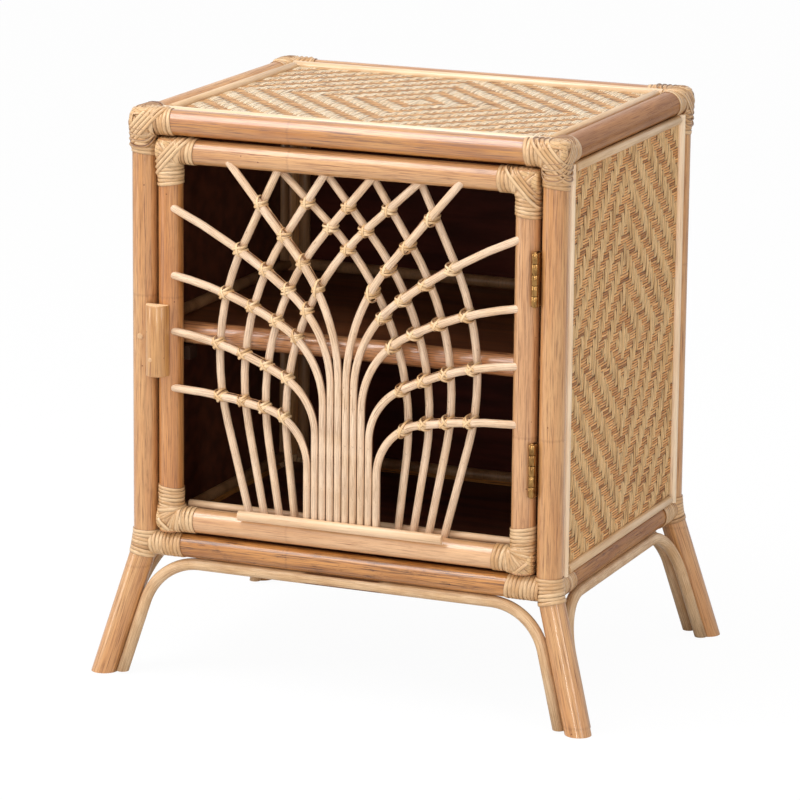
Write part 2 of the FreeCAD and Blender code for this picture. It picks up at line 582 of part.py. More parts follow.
stile_poles = {side: cylinder("door_stile_%s_pole" % side, DOOR_RADIUS, "%s - %s" % (DOOR_HIGH, DOOR_LOW),
                              "%d * %s" % (sx, STILE_X), DOOR_Y, DOOR_LOW) for side, sx in SIDES}
stile_scoops = [cylinder("door_stile_%s_scoop" % side, DOOR_RADIUS + " + joint_gap",
                         "%s - %s" % (DOOR_HIGH, DOOR_LOW), "%d * %s" % (sx, STILE_X), DOOR_Y, DOOR_LOW)
                for side, sx in SIDES]
door_rails = {level: cut("door_rail_%s" % level,
                         cylinder("door_rail_%s_bar" % level, DOOR_RADIUS, "2 * " + STILE_X, "-" + STILE_X,
                                  DOOR_Y, z, "x"), *stile_scoops)
              for level, z in (("bottom", RAIL_LOW), ("top", RAIL_HIGH))}

# ---------------------------------------------------------------- lattice of bent canes
# Five canes a side rise from the middle of the bottom rail and fan out to the stiles and the top rail.
# Four canes a side stand between the rails with a belly towards the stile, and their tops cross over.
# The canes lie in three layers: fans in front, then the canes that belly left, then those that belly right.
CANE_R = size["cane_diameter"] / 2
LAYER = size["cane_diameter"] + size["layer_play"]
FAN_LAYER, LEFT_LAYER, RIGHT_LAYER = -LAYER, 0.0, LAYER
STEM_PITCH = size["cane_diameter"] + size["stem_play"]

# Where the fan canes end: share of the door's height, bend and turn of the shoulder, bend beyond it.
FANS = ((0.364, 54, 78, 510), (0.5185, 59, 62, 310), (0.6705, 84, 61, 347), (0.8525, 112, 52, 540))
# How far the tops and the feet of the four upright canes of a side lean out of plumb, in degrees.
TOP_LEANS = (25.5, 32.8, 40.1, 47.4)
FOOT_LEANS = (14.5, 11, 9, 6.5)


def seat_depth(layer):
    """How far from the axis of a door pole a cane of this layer is drawn to, inside the pole's surface."""
    return sqrt(DOOR_R ** 2 - layer ** 2) - size["cane_end_depth"]


def cane_path(points, layer, mirror):
    return Part.makePolygon([Vector(mirror * x, DOOR_Y_NOW + layer, z) for x, z in points])


def fan_path(number, mirror):
    """Stem, shoulder and outer stretch of a fan cane, from the bottom rail to a stile."""
    share, bend, turn, sweep = FANS[number]
    turn = radians(turn)
    stem = STEM_PITCH * (len(FANS) + 0.5 - number)
    end_x = STILE_NOW - seat_depth(FAN_LAYER)
    final = acos(cos(turn) - (end_x - stem - bend * (1 - cos(turn))) / sweep)
    rise = RAIL_LOW_NOW + share * (RAIL_HIGH_NOW - RAIL_LOW_NOW)
    start = rise - bend * sin(turn) - sweep * (sin(final) - sin(turn))
    centre = (stem + (bend - sweep) * (1 - cos(turn)) + sweep, start + (bend - sweep) * sin(turn))
    foot = (stem, RAIL_LOW_NOW + seat_depth(FAN_LAYER))
    return cane_path([foot] + arc_points((stem + bend, start), bend, 180, 180 - degrees(turn))
                     + arc_points(centre, sweep, 180 - degrees(turn), 180 - degrees(final))[1:], FAN_LAYER, mirror)


def top_fan_path(mirror):
    """The fan cane nearest the middle, which ends straight at the top rail."""
    bend = size["fan_top_shoulder"]
    stem = STEM_PITCH / 2
    turn = radians(TOP_LEANS[2])
    foot = (stem, RAIL_LOW_NOW + seat_depth(FAN_LAYER))
    end = (size["fan_top_reach"], RAIL_HIGH_NOW - seat_depth(FAN_LAYER))
    start = end[1] - bend * sin(turn) - (end[0] - stem - bend * (1 - cos(turn))) / tan(turn)
    return cane_path([foot] + arc_points((stem + bend, start), bend, 180, 180 - degrees(turn)) + [end],
                     FAN_LAYER, mirror)


def upright_path(number, mirror):
    """Straight top, belly and straight foot of an upright cane, from rail to rail."""
    layer = RIGHT_LAYER if mirror > 0 else LEFT_LAYER
    lean, foot_lean = radians(TOP_LEANS[number]), radians(FOOT_LEANS[number])
    station = (size["station_pitch"] * (1.5 - number), RAIL_HIGH_NOW - DOOR_R)
    foot = (STEM_PITCH * 4.5 + size["upright_foot_pitch"] * (4 - number), RAIL_LOW_NOW + DOOR_R)
    sunk = DOOR_R - seat_depth(layer)
    top = (station[0] - sunk * tan(lean), station[1] + sunk)
    low = (foot[0] - sunk * tan(foot_lean), foot[1] - sunk)
    drop = (foot[0] - station[0] + tan(foot_lean) * (station[1] - foot[1])) / (tan(lean) + tan(foot_lean))
    meet = (station[0] + tan(lean) * drop, station[1] - drop)
    bend = size["upright_bend_radius"]
    reach = bend * tan((lean + foot_lean) / 2)
    above = (meet[0] - reach * sin(lean), meet[1] + reach * cos(lean))
    centre = (above[0] - bend * cos(lean), above[1] - bend * sin(lean))
    return cane_path([top] + arc_points(centre, bend, degrees(lean), -degrees(foot_lean)) + [low], layer, mirror)


def cane(path):
    """A cane whose ends are scooped to fit the door poles."""
    return max(tube(path, CANE_R).cut(DOOR_CORES).Solids, key=lambda solid: solid.Volume)


DOOR_CORES = [Part.makeCylinder(DOOR_R + GAP, 2 * X0, Vector(-X0, DOOR_Y_NOW, z), Vector(1, 0, 0))
              for z in (RAIL_LOW_NOW, RAIL_HIGH_NOW)]
DOOR_CORES += [Part.makeCylinder(DOOR_R + GAP, HIGH_NOW - LOW_NOW, Vector(sx * STILE_NOW, DOOR_Y_NOW, LOW_NOW))
               for _, sx in SIDES]
fan_paths = {side: [fan_path(n, sx) for n in range(len(FANS))] + [top_fan_path(sx)] for side, sx in SIDES}
upright_paths = {side: [upright_path(n, sx) for n in range(len(TOP_LEANS))] for side, sx in SIDES}
fan_canes = {side: shape("fan_canes_" + side, [cane(path) for path in fan_paths[side]]) for side, _ in SIDES}
upright_canes = {side: shape("upright_canes_" + side, [cane(path) for path in upright_paths[side]])
                 for side, _ in SIDES}


def crossings(path_a, path_b):
    """Where two canes cross in the face of the door, with the direction of each there."""
    flat = [path.translated(Vector(0, -path.BoundBox.YMin, 0)) for path in (path_a, path_b)]
    distance, spots, _ = flat[0].distToShape(flat[1])
    if distance > 1e-3:
        return []
    found = []
    for spot, _ in spots:
        directions = []
        for path in flat:
            edge = min(path.Edges, key=lambda e: e.distToShape(Part.Vertex(spot))[0])
            directions.append(edge.tangentAt(edge.Curve.parameter(spot)))
        found.append((spot, directions))
    return found


def tie(spot, directions, front, back):
    """A band of peel wound round two crossing canes, square to the line midway between them."""
    one, two = directions
    middle = (one + two if one.dot(two) > 0 else one - two).normalize()
    half_angle = acos(min(1, abs(middle.dot(one))))
    width, thick = size["tie_width"], size["tie_thickness"]
    around = CANE_R + size["tie_play"]
    half = around / cos(half_angle) + width / 2 * tan(half_angle + radians(CHORD_TURN))
    low, high = front - around, back + around
    band = Part.makeBox(2 * (half + thick), high - low + 2 * thick, width,
                        Vector(-half - thick, low - thick, -width / 2))
    hole = Part.makeBox(2 * half, high - low, 2 * width, Vector(-half, low, -width))
    band = band.cut(hole)
    band.Placement = FreeCAD.Placement(Vector(spot.x, DOOR_Y_NOW, spot.z), Rotation(
        middle.cross(Vector(0, 1, 0)) * -1, Vector(0, 1, 0), middle, "ZYX"))
    return band


ties = []
for side, layer in (("left", LEFT_LAYER), ("right", RIGHT_LAYER)):
    for fan in fan_paths[side]:
        for upright in upright_paths[side]:
            ties += [tie(spot, ways, FAN_LAYER, layer) for spot, ways in crossings(fan, upright)]
for one in upright_paths["left"]:
    for two in upright_paths["right"]:
        ties += [tie(spot, ways, LEFT_LAYER, RIGHT_LAYER) for spot, ways in crossings(one, two)
                 if spot.z < RAIL_HIGH_NOW - DOOR_R - size["tie_width"]]
cane_ties = shape("cane_crossing_ties", ties)

# strips across the feet of the canes: one in front of the fans, one behind the uprights
CANE_FRONT = "(%s - 3 * cane_diameter / 2 - layer_play)" % DOOR_Y
CANE_BACK = "(%s + 3 * cane_diameter / 2 + layer_play)" % DOOR_Y


cover_strip = bead("cane_cover_strip", "strip_width / 2", "strip_width / 2", "strip_length", "-strip_length / 2",
                   CANE_FRONT + " - joint_gap", RAIL_LOW + " + strip_rise", "x", (0, -1, 0))
sill_bead = cut("door_sill_bead",
                bead("door_sill_bead_bar", "sill_bead_width / 2", "sill_bead_width / 2", "2 * " + STILE_X,
                     "-" + STILE_X, CANE_BACK + " + joint_gap", RAIL_LOW + " + sill_bead_rise", "x", (0, 1, 0)),
                *stile_scoops)

# handle: a short split pole with planed corners on the front of the left stile
HANDLE_X = "(-%s - handle_overhang)" % STILE_X
HANDLE_BACK = "(%s - %s - joint_gap)" % (DOOR_Y, DOOR_RADIUS)
EDGE_SHARE, FACE_SHARE = 0.45, 0.55


def handle_body():
    body = add("PartDesign::Body", "door_handle_block")
    half, deep = size["handle_width"] / 2, size["handle_height"]
    outline = sketch_on(body, "handle_outline", "XY_Plane")
    corners = [Vector(-half, 0, 0), Vector(-half, -deep * EDGE_SHARE, 0), Vector(-half * FACE_SHARE, -deep, 0),
               Vector(half * FACE_SHARE, -deep, 0), Vector(half, -deep * EDGE_SHARE, 0), Vector(half, 0, 0)]
    for a, b in zip(corners, corners[1:] + corners[:1]):
        outline.addGeometry(Part.LineSegment(a, b), False)
    for number in range(6):
        outline.addConstraint(Sketcher.Constraint("Coincident", number, 2, (number + 1) % 6, 1))
    outline.addConstraint(Sketcher.Constraint("PointOnObject", 0, 1, -1))
    outline.addConstraint(Sketcher.Constraint("Symmetric", 0, 1, 4, 2, -2))
    outline.addConstraint(Sketcher.Constraint("Symmetric", 0, 2, 3, 2, -2))
    outline.addConstraint(Sketcher.Constraint("Symmetric", 1, 2, 2, 2, -2))
    outline.addConstraint(Sketcher.Constraint("Vertical", 0))
    dimension(outline, "DistanceX", 0, 1, 4, 2, value=2 * half, text="handle_width", name="width")
    dimension(outline, "DistanceY", 2, 1, -1, 1, value=deep, text="handle_height", name="height")
    dimension(outline, "DistanceX", 1, 2, 2, 2, value=2 * half * FACE_SHARE, text="handle_width * %s" % FACE_SHARE, name="face")
    dimension(outline, "DistanceY", 0, 2, 0, 1, value=deep * EDGE_SHARE, text="handle_height * %s" % EDGE_SHARE, name="edge")
    pad = body.newObject("PartDesign::Pad", "handle_pad")
    pad.Profile = outline
    pad.Type = "Length"
    pad.setExpression("Length", formula("handle_length"))
    doc.recompute()
    rim = body.newObject("PartDesign::Chamfer", "handle_rim")
    front_ends = ["Edge%d" % n for n, edge in enumerate(pad.Shape.Edges, 1)
                  if edge.BoundBox.ZLength < GAP and edge.CenterOfMass.y < -deep * EDGE_SHARE]
    rim.Base = (pad, front_ends)
    rim.setExpression("Size", formula("handle_rim"))
    body.Tip = rim
    return place(body, HANDLE_X, HANDLE_BACK, "handle_rise - handle_length / 2")


handle = part(handle_body(), "door_handle")
door_stile_left = cut("door_stile_left", stile_poles["left"], strike_flat)
door_stile_right = cut("door_stile_right", stile_poles["right"], *door_flats)
posts["front_right"] = cut("post_front_right_flatted", posts["front_right"], *frame_flats)

# ---------------------------------------------------------------- bindings
# Wound peel over every joint of the poles: eight-sided sleeves round the ends of the poles that meet
# there, opened where panels and beads lie against the poles.
CORNERS = [(sx, sy) for _, sx in SIDES for _, sy in ENDS]
WRAP = size["binding_thickness"]
DOOR_WRAP = size["door_binding_thickness"]
BASE_R = size["base_rail_diameter"] / 2
SLEEVE_SIDES = 8


def sleeve(flat, start, direction, length):
    """A bar with eight sides that carries a round bar of this radius inside it."""
    way = Vector(*direction).normalize()
    across = Vector(0, 1, 0) if abs(way.x) > abs(way.z) else Vector(1, 0, 0)
    across = (across - way * across.dot(way)).normalize()
    upward = way.cross(across)
    corner = flat / cos(pi / SLEEVE_SIDES)
    turns = [(k + 0.5) * 2 * pi / SLEEVE_SIDES for k in range(SLEEVE_SIDES + 1)]
    outline = [Vector(*start) + (across * cos(turn) + upward * sin(turn)) * corner for turn in turns]
    return Part.Face(Part.makePolygon(outline)).extrude(way * length)


def grown_box(solid):
    box = solid.BoundBox
    return Part.makeBox(box.XLength + 2 * GAP, box.YLength + 2 * GAP, box.ZLength + 2 * GAP,
                        Vector(box.XMin - GAP, box.YMin - GAP, box.ZMin - GAP))


doc.recompute()
LYING_ON_POLES = [top_board, top_mat, top_beads, back_board, back_beads, bottom_board, sill_bead, cover_strip]
LYING_ON_POLES += [thing for pieces in side_pieces.values() for thing in pieces]
OBSTACLES = [grown_box(solid) for thing in LYING_ON_POLES for solid in thing.Shape.Solids]


def wound(arms, cores):
    """Sleeves joined into one piece, less the poles and whatever lies against them."""
    joined = arms[0].multiFuse(arms[1:])
    near = [thing for thing in OBSTACLES if thing.BoundBox.intersect(joined.BoundBox)]
    return max(joined.cut(cores + near).Solids, key=lambda solid: solid.Volume).removeSplitter()


def rail_sleeves(flat, x, y, z, sx, sy, reach):
    """Sleeves along the two rails that meet a post."""
    return [sleeve(flat, (x, y, z), (-sx, 0, 0), reach), sleeve(flat, (x, y, z), (0, -sy, 0), reach)]


top_bindings, base_bindings = [], []
for sx, sy in CORNERS:
    x, y = sx * X0, sy * Y0
    drop, rise = size["binding_drop"], size["post_top_rise"]
    top_arms = [sleeve(POLE + GAP + WRAP, (x, y, TOP_Z - drop), (0, 0, 1), drop + rise)]
    top_cores = [sleeve(POLE + GAP, (x, y, BASE_Z), (0, 0, 1), TOP_Z)]
    top_bindings.append(wound(
        top_arms + rail_sleeves(POLE + GAP + WRAP, x, y, TOP_Z, sx, sy, POLE + size["binding_reach"]),
        top_cores + rail_sleeves(POLE + GAP, x, y, TOP_Z, sx, sy, Y0)))
    half_band = size["base_band_height"] / 2
    low, high = BASE_Z - half_band, BASE_Z + half_band
    base_arms = [bent_bar(POLE + GAP + WRAP, sx, sy, low, high, SLEEVE_SIDES)]
    base_cores = [bent_bar(POLE + GAP, sx, sy, low - half_band, high + half_band, SLEEVE_SIDES)]
    base_bindings.append(wound(
        base_arms + rail_sleeves(BASE_R + GAP + WRAP, x, y, BASE_Z, sx, sy, POLE + size["base_binding_reach"]),
        base_cores + rail_sleeves(BASE_R + GAP, x, y, BASE_Z, sx, sy, Y0)))
door_bindings = []
for _, sx in SIDES:
    for z, up in ((RAIL_HIGH_NOW, 1), (RAIL_LOW_NOW, -1)):
        x = sx * STILE_NOW
        start = (x, DOOR_Y_NOW, z + up * DOOR_R)
        stile_reach = DOOR_R + size["door_binding_drop"]
        rail_reach = DOOR_R + size["door_binding_reach"]
        door_bindings.append(wound(
            [sleeve(DOOR_R + GAP + DOOR_WRAP, start, (0, 0, -up), stile_reach),
             sleeve(DOOR_R + GAP + DOOR_WRAP, (x, DOOR_Y_NOW, z), (-sx, 0, 0), rail_reach)],
            [sleeve(DOOR_R + GAP, (x, DOOR_Y_NOW, MID_NOW - up * MID_NOW), (0, 0, up), 2 * MID_NOW),
             sleeve(DOOR_R + GAP, (x, DOOR_Y_NOW, z), (-sx, 0, 0), STILE_NOW)]))

for corner, post in posts.items():
    part(post, "post_" + corner)
for name, rail in rails.items():
    part(rail, name)
for name, arch in arches.items():
    part(arch, "leg_arch_" + name)
for thing in (top_board, top_mat, top_beads, back_board, back_beads, bottom_board, shelf_board, shelf_rail,
              catch, frame_leaves):
    part(thing, thing.Name)
for side, (board, mat, beads) in side_pieces.items():
    for thing in (board, mat, beads):
        part(thing, thing.Name)
part(shape("top_corner_bindings", top_bindings), "top_corner_bindings")
part(shape("base_joint_bindings", base_bindings), "base_joint_bindings")
part(shape("door_corner_bindings", door_bindings), "door_corner_bindings")
for thing in (door_stile_left, door_stile_right, *door_rails.values(), *fan_canes.values(),
              *upright_canes.values(), cane_ties, cover_strip, sill_bead, door_leaves, strike):
    part(thing, thing.Name)

# ---------------------------------------------------------------- checks and export
doc.recompute()
for thing in doc.Objects:
    if "Invalid" in thing.State or "Error" in thing.State:
        raise RuntimeError("%s failed to recompute" % thing.Name)
os.makedirs("parts", exist_ok=True)
for thing in PARTS:
    if thing.Shape.isNull() or not thing.Shape.isValid():
        raise RuntimeError("%s has no valid shape" % thing.Label)
    thing.Shape.exportStep("parts/%s.step" % thing.Label)
print(len(PARTS), "nodes,", sum(len(thing.Shape.Solids) for thing in PARTS), "solids")
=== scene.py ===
import math
import random

import bpy
import numpy as np
from mathutils import Matrix, Vector


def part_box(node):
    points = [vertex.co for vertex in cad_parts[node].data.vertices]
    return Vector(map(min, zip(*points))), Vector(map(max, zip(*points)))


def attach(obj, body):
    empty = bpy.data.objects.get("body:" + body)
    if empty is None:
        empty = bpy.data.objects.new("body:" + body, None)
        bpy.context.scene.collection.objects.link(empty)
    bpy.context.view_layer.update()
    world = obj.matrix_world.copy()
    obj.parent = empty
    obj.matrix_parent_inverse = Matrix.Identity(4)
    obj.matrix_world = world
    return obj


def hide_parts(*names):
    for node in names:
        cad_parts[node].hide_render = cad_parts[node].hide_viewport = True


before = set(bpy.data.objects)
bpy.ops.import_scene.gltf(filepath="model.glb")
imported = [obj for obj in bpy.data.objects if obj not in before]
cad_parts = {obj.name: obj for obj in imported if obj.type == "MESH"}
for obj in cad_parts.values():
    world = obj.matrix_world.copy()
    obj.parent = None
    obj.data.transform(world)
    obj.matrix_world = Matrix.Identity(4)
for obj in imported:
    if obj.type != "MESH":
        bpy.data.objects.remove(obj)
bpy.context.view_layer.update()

# ---------------------------------------------------------------- the room
# A pale studio floor without a visible edge, a wide soft lamp overhead and in front, and a weak one at each
# side. The floor and the air behind it look white, and the floor keeps the soft shadow of the cabinet.


class Strand:
    """One socket of a finish, which can be added, multiplied and handed to the next node."""

    def __init__(self, tree, socket):
        self.tree = tree
        self.socket = socket

    def feed(self, target):
        self.tree.links.new(self.socket, target)

    def node(self, kind, settings, inputs, output=0):
        made = self.tree.nodes.new("ShaderNode" + kind)
        for name, value in settings.items():
            setattr(made, name, value)
        for name, value in inputs.items():
            if isinstance(value, Strand):
                value.feed(made.inputs[name])
            else:
                made.inputs[name].default_value = value
        return Strand(self.tree, made.outputs[output])

    def sum(self, kind, a, b=0.0):
        return self.node("Math", {"operation": kind}, {0: a, 1: b})

    def __add__(self, other):
        return self.sum("ADD", self, other)

    def __radd__(self, other):
        return self.sum("ADD", other, self)

    def __sub__(self, other):
        return self.sum("SUBTRACT", self, other)

    def __rsub__(self, other):
        return self.sum("SUBTRACT", other, self)

    def __mul__(self, other):
        return self.sum("MULTIPLY", self, other)

    def __rmul__(self, other):
        return self.sum("MULTIPLY", other, self)

    def at_least(self, floor):
        return self.sum("MAXIMUM", self, floor)

    def at_most(self, roof):
        return self.sum("MINIMUM", self, roof)

    def fraction(self):
        return self.sum("FRACT", self)

    def __abs__(self):
        return self.sum("ABSOLUTE", self)

    def __gt__(self, other):
        return self.sum("GREATER_THAN", self, other)

    def ease(self, low, high):
        """Nothing at low, all at high, and a smooth rise between them."""
        return self.node("MapRange", {"interpolation_type": "SMOOTHSTEP"}, {0: self, 1: low, 2: high})

    def between(self, a, b):
        """The colour that lies this far on the way from a to b, each a colour on a 0 to 255 scale or a result
        so far.
        """
        a, b = (shade if isinstance(shade, Strand) else colour(*shade) for shade in (a, b))
        return self.node("Mix", {"data_type": "RGBA"}, {0: self, 6: a, 7: b}, 2)

    def parts(self):
        return [self.node("SeparateXYZ", {}, {0: self}, k) for k in range(3)]

    def noise(self, x, y, z, detail=3.0, rough=0.55):
        """Cloudy noise over three measures, from 0 to 1."""
        spot = self.node("CombineXYZ", {}, {0: x, 1: y, 2: z})
        return self.node("TexNoise", {}, {"Vector": spot, "Scale": 1.0, "Detail": detail, "Roughness": rough})


def colour(red, green, blue):
    """A colour given on a 0 to 255 scale, as light."""
    light = [v / 255 / 12.92 if v <= 10 else ((v / 255 + 0.055) / 1.055) ** 2.4 for v in (red, green, blue)]
    return (*light, 1.0)


def new_finish(name, source, **fixed):
    """A material whose pattern starts from the piece's Object place or its own UV map."""
    finish = bpy.data.materials.new(name)
    finish.use_nodes = True
    tree = finish.node_tree
    surface = tree.nodes["Principled BSDF"]
    for socket, value in fixed.items():
        surface.inputs[socket.replace("_", " ")].default_value = value
    place = Strand(tree, tree.nodes.new("ShaderNodeTexCoord").outputs[source])
    return finish, surface, place


def bump(surface, height, strength, depth):
    """Raises the surface by a pattern from 0 to 1, whose full height is depth."""
    raised = height.node("Bump", {}, {"Strength": strength, "Distance": depth, "Height": height})
    raised.feed(surface.inputs["Normal"])


mm = 0.001
bpy.ops.object.select_all(action="DESELECT")
bpy.ops.mesh.primitive_plane_add(size=14, location=(0, 0, 0))
floor = bpy.context.object
floor.name = "studio_floor"
paper = bpy.data.materials.new("studio_paper")
paper.use_nodes = True
tree = paper.node_tree
matt = tree.nodes["Principled BSDF"]
matt.inputs["Base Color"].default_value = (0.72, 0.72, 0.72, 1)
matt.inputs["Roughness"].default_value = 0.9
seen = Strand(tree, tree.nodes.new("ShaderNodeLightPath").outputs["Is Camera Ray"])
glow = seen.node("Emission", {}, {"Color": (1, 1, 1, 1), "Strength": 1.02})
mixed = seen.node("MixShader", {}, {0: seen * 0.94, 1: Strand(tree, matt.outputs[0]), 2: glow})
mixed.feed(tree.nodes["Material Output"].inputs["Surface"])
floor.data.materials.append(paper)

air = bpy.data.worlds.new("studio_air")
bpy.context.scene.world = air
air.use_nodes = True
tree = air.node_tree
background = tree.nodes["Background"]
background.inputs["Color"].default_value = (1, 1, 1, 1)
rays = tree.nodes.new("ShaderNodeLightPath")
direct = (Strand(tree, rays.outputs["Is Camera Ray"]) + Strand(tree, rays.outputs["Is Transmission Ray"])
          + Strand(tree, rays.outputs["Is Glossy Ray"]))
(0.52 + direct * 0.48).feed(background.inputs["Strength"])


def soft_lamp(name, place, aim, width, height, power):
    """A rectangular lamp of so many watts at place, turned to aim."""
    lamp = bpy.data.lights.new(name, "AREA")
    lamp.shape = "RECTANGLE"
    lamp.size, lamp.size_y, lamp.energy = width, height, power
    stand = bpy.data.objects.new(name, lamp)
    stand.location = place
    stand.rotation_euler = (Vector(aim) - Vector(place)).to_track_quat("-Z", "Y").to_euler()
    bpy.context.scene.collection.objects.link(stand)


soft_lamp("lamp_overhead", (-0.75, -1.0, 2.4), (0, 0, 0.4), 1.3, 2.2, 40)
soft_lamp("lamp_top", (0.1, -0.2, 2.2), (0, 0, 0.4), 1.2, 0.8, 5)
soft_lamp("lamp_left", (-2.2, -1.6, 0.9), (0, 0, 0.3), 0.5, 1.7, 15)
soft_lamp("lamp_right", (2.2, -1.4, 1.0), (0, 0, 0.3), 0.4, 1.7, 11)
soft_lamp("lamp_front", (0.8, -3.2, 0.8), (0, 0, 0.3), 0.2, 1.5, 15)

SENSOR = 36
LENS_PIXELS, FRAME_PIXELS = 4423.5794, 800
AIM = Vector((6.4213, -49.1869, 269.2372)) * mm
STAND_OFF = 4307.9452
AZIMUTH, RISE, ROLL = (math.radians(angle) for angle in (22.886, 13.4133, 0.5671))
lens = bpy.data.cameras.new("studio_camera")
lens.sensor_width = SENSOR
lens.lens = LENS_PIXELS / FRAME_PIXELS * SENSOR
lens.clip_end = 50
camera = bpy.data.objects.new("studio_camera", lens)
bpy.context.scene.collection.objects.link(camera)
gaze = Vector((-math.sin(AZIMUTH) * math.cos(RISE), math.cos(AZIMUTH) * math.cos(RISE), -math.sin(RISE)))
right = gaze.cross(Vector((0, 0, 1))).normalized()
up = right.cross(gaze)
upright_view = Matrix((right, up, -gaze)).transposed() @ Matrix.Rotation(ROLL, 3, "Z")
camera.matrix_world = Matrix.Translation(AIM - gaze * STAND_OFF * mm) @ upright_view.to_4x4()
bpy.context.scene.camera = camera
bpy.context.scene.view_settings.view_transform = "Standard"

# ---------------------------------------------------------------- posts, rails and door frame
# Manau rattan poles with the skin sanded off: 25 mm posts that bend out into the legs, 25 and 23 mm rails,
# and 24 mm poles for the door. They are scooped where they meet, nailed, and wound over with peel.
POLE = 25 * mm
LEG_TURN = 132 * mm
SPLAY = (38 * mm, 17.5 * mm)
POST = (210.5 * mm, 167 * mm)


def pole_finish(name, along, pale, warm, dark, legs=False, knots=0.0, coat=0.7, shine=0.38, streak=0.15):
    """Sanded pole: fine pores and long streaks along it, clouds, pits, and a ring where each leaf grew."""
    finish, surface, place = new_finish(name, "Object", Specular_IOR_Level=shine, Coat_Weight=coat,
                                        Coat_Roughness=0.11)
    spot = place.parts()
    one, two = [spot[k] for k in range(3) if k != along]
    pole = (one > 0.0) * 0.37 + (two > 0.0) * 0.61
    if legs:
        fall = (LEG_TURN + 5 * mm - spot[2]).at_least(0.0)
        spot = [*(abs(spot[k]) - fall * (SPLAY[k] / LEG_TURN) for k in (0, 1)), spot[2]]
    run = spot[along]
    one, two = [spot[k] for k in range(3) if k != along]
    broad = place.noise(one * 70.0, two * 70.0, run * 9.0)
    fine = place.noise(one * 900.0, two * 900.0, run * 24.0, 4.0, 0.65)
    hair = place.noise(one * 1600.0, two * 1600.0, run * 40.0, 2.0)
    tone = broad.ease(0.3, 0.7).between(pale, warm)
    long = place.noise(one * 430.0, two * 430.0, run * 11.0 + 7.0, 3.0, 0.6)
    grain = fine.ease(0.48, 0.68) * 0.55 + hair.ease(0.5, 0.7) * 0.45 + long.ease(0.52, 0.64) * streak
    cloud = place.noise(one * 200.0, two * 200.0, run * 60.0 + 4.0, 5.0, 0.7)
    cloud = cloud.ease(0.56 - knots * 0.08, 0.8 - knots * 0.13) * (0.3 + knots * 0.7)
    joint = (run * 3.7 + pole + 0.1).fraction()
    ring = 1.0 - abs(joint - 0.5 + (fine - 0.5) * 0.02).ease(0.001, 0.007)
    pit = place.node("TexVoronoi", {}, {"Vector": place, "Scale": 60.0, "Randomness": 1.0})
    pit = 1.0 - pit.ease(0.03, 0.06)
    marks = (grain + cloud + ring * 0.16 + pit * 0.8).at_most(1.0)
    marks.between(tone, dark).feed(surface.inputs["Base Color"])
    (0.3 + grain * 0.2).feed(surface.inputs["Roughness"])
    bump(surface, 1.0 - grain * 0.7 - ring * 0.3, 0.35, 0.25 * mm)
    return finish


tan, umber = (214, 162, 108), (120, 68, 32)
post_finish = pole_finish("post_rattan", 2, tan, (206, 147, 92), umber, legs=True)
rail_finish_x = pole_finish("rail_rattan_x", 0, (206, 144, 72), (180, 112, 44), (104, 56, 24),
                            coat=1.0, shine=0.9, streak=0.5)
# The top rails of the sides are lit and shaded copies of one pole: the right one is painted shade, darker,
# and the left one painted light, paler.
shaded_rail_finish_right = pole_finish("rail_rattan_y", 1, (172, 112, 50), (146, 90, 36), umber, coat=0.12, shine=0.15)
lit_rail_finish_left = pole_finish("rail_rattan_left", 1, (214, 158, 92), (192, 132, 66), umber, coat=0.2)
base_finish_x = pole_finish("base_rail_rattan_x", 0, (206, 142, 76), (170, 106, 46), (76, 36, 14),
                            knots=0.4, coat=0.85, shine=0.4, streak=0.45)
# The base rails of the sides are coloured darker than the front and back ones: painted shade.
shaded_base_finish_y = pole_finish("base_rail_rattan_y", 1, (186, 128, 66), (156, 98, 46), (92, 46, 20),
                            knots=0.5, coat=0.15, shine=0.15)
door_finish_x = pole_finish("door_rail_rattan", 0, (217, 165, 112), (202, 145, 91), (124, 68, 32),
                            coat=0.7, shine=0.7, streak=0.25)
# The bottom rail of the door is coloured paler than the top one: painted light, standing in for its
# highlight.
lit_door_finish_low = pole_finish("door_rail_rattan_low", 0, (229, 181, 133), (208, 155, 105), (160, 104, 60),
                              coat=0.9, shine=0.7, streak=0.05)
door_finish_z = pole_finish("door_stile_rattan", 2, (208, 146, 88), (194, 128, 72), umber)
light_finish_z = pole_finish("door_stile_rattan_pale", 2, (216, 164, 116), (204, 148, 98), umber)
shelf_finish_x = pole_finish("shelf_rail_rattan", 0, (240, 176, 122), (206, 136, 86), (104, 56, 30),
                             knots=0.3, coat=1.0, shine=0.6, streak=0.4)


def dress(node, finish):
    """Gives a piece of the frame its finish."""
    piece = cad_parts[node]
    piece.data.materials.clear()
    piece.data.materials.append(finish)


for corner in ("front_left", "front_right", "back_left", "back_right"):
    dress("post_" + corner, post_finish)
for side in ("front", "back"):
    dress("top_rail_" + side, rail_finish_x)
    dress("base_rail_" + side, base_finish_x)
for side, rail, stile in (("left", lit_rail_finish_left, door_finish_z),
                          ("right", shaded_rail_finish_right, light_finish_z)):
    dress("top_rail_" + side, rail)
    dress("base_rail_" + side, shaded_base_finish_y)
    dress("door_stile_" + side, stile)
dress("door_rail_top", door_finish_x)
dress("door_rail_bottom", lit_door_finish_low)
dress("shelf_front_rail", shelf_finish_x)

# ---------------------------------------------------------------- boards
# Thin plywood: stained nearly black on the faces of the compartment, bare on the outside of the back. The
# boards are tacked to the poles behind the woven mats, and the shelf and floor boards rest on the rails.


def board_finish(name, pale, dark, gloss):
    """Stained plywood: the waves of its figure and fine pores along X."""
    finish, surface, place = new_finish(name, "Object", Roughness=0.5, Specular_IOR_Level=gloss)
    x, y, z = place.parts()
    waves = place.noise(x * 9.0, y * 60.0, z * 60.0, 4.0)
    pores = place.noise(x * 60.0, y * 900.0, z * 900.0, 2.0)
    tone = waves.ease(0.3, 0.7).between(pale, dark)
    (pores.ease(0.55, 0.8) * 0.4).between(tone, dark).feed(surface.inputs["Base Color"])
    bump(surface, pores, 0.2, 0.2 * mm)
    return finish


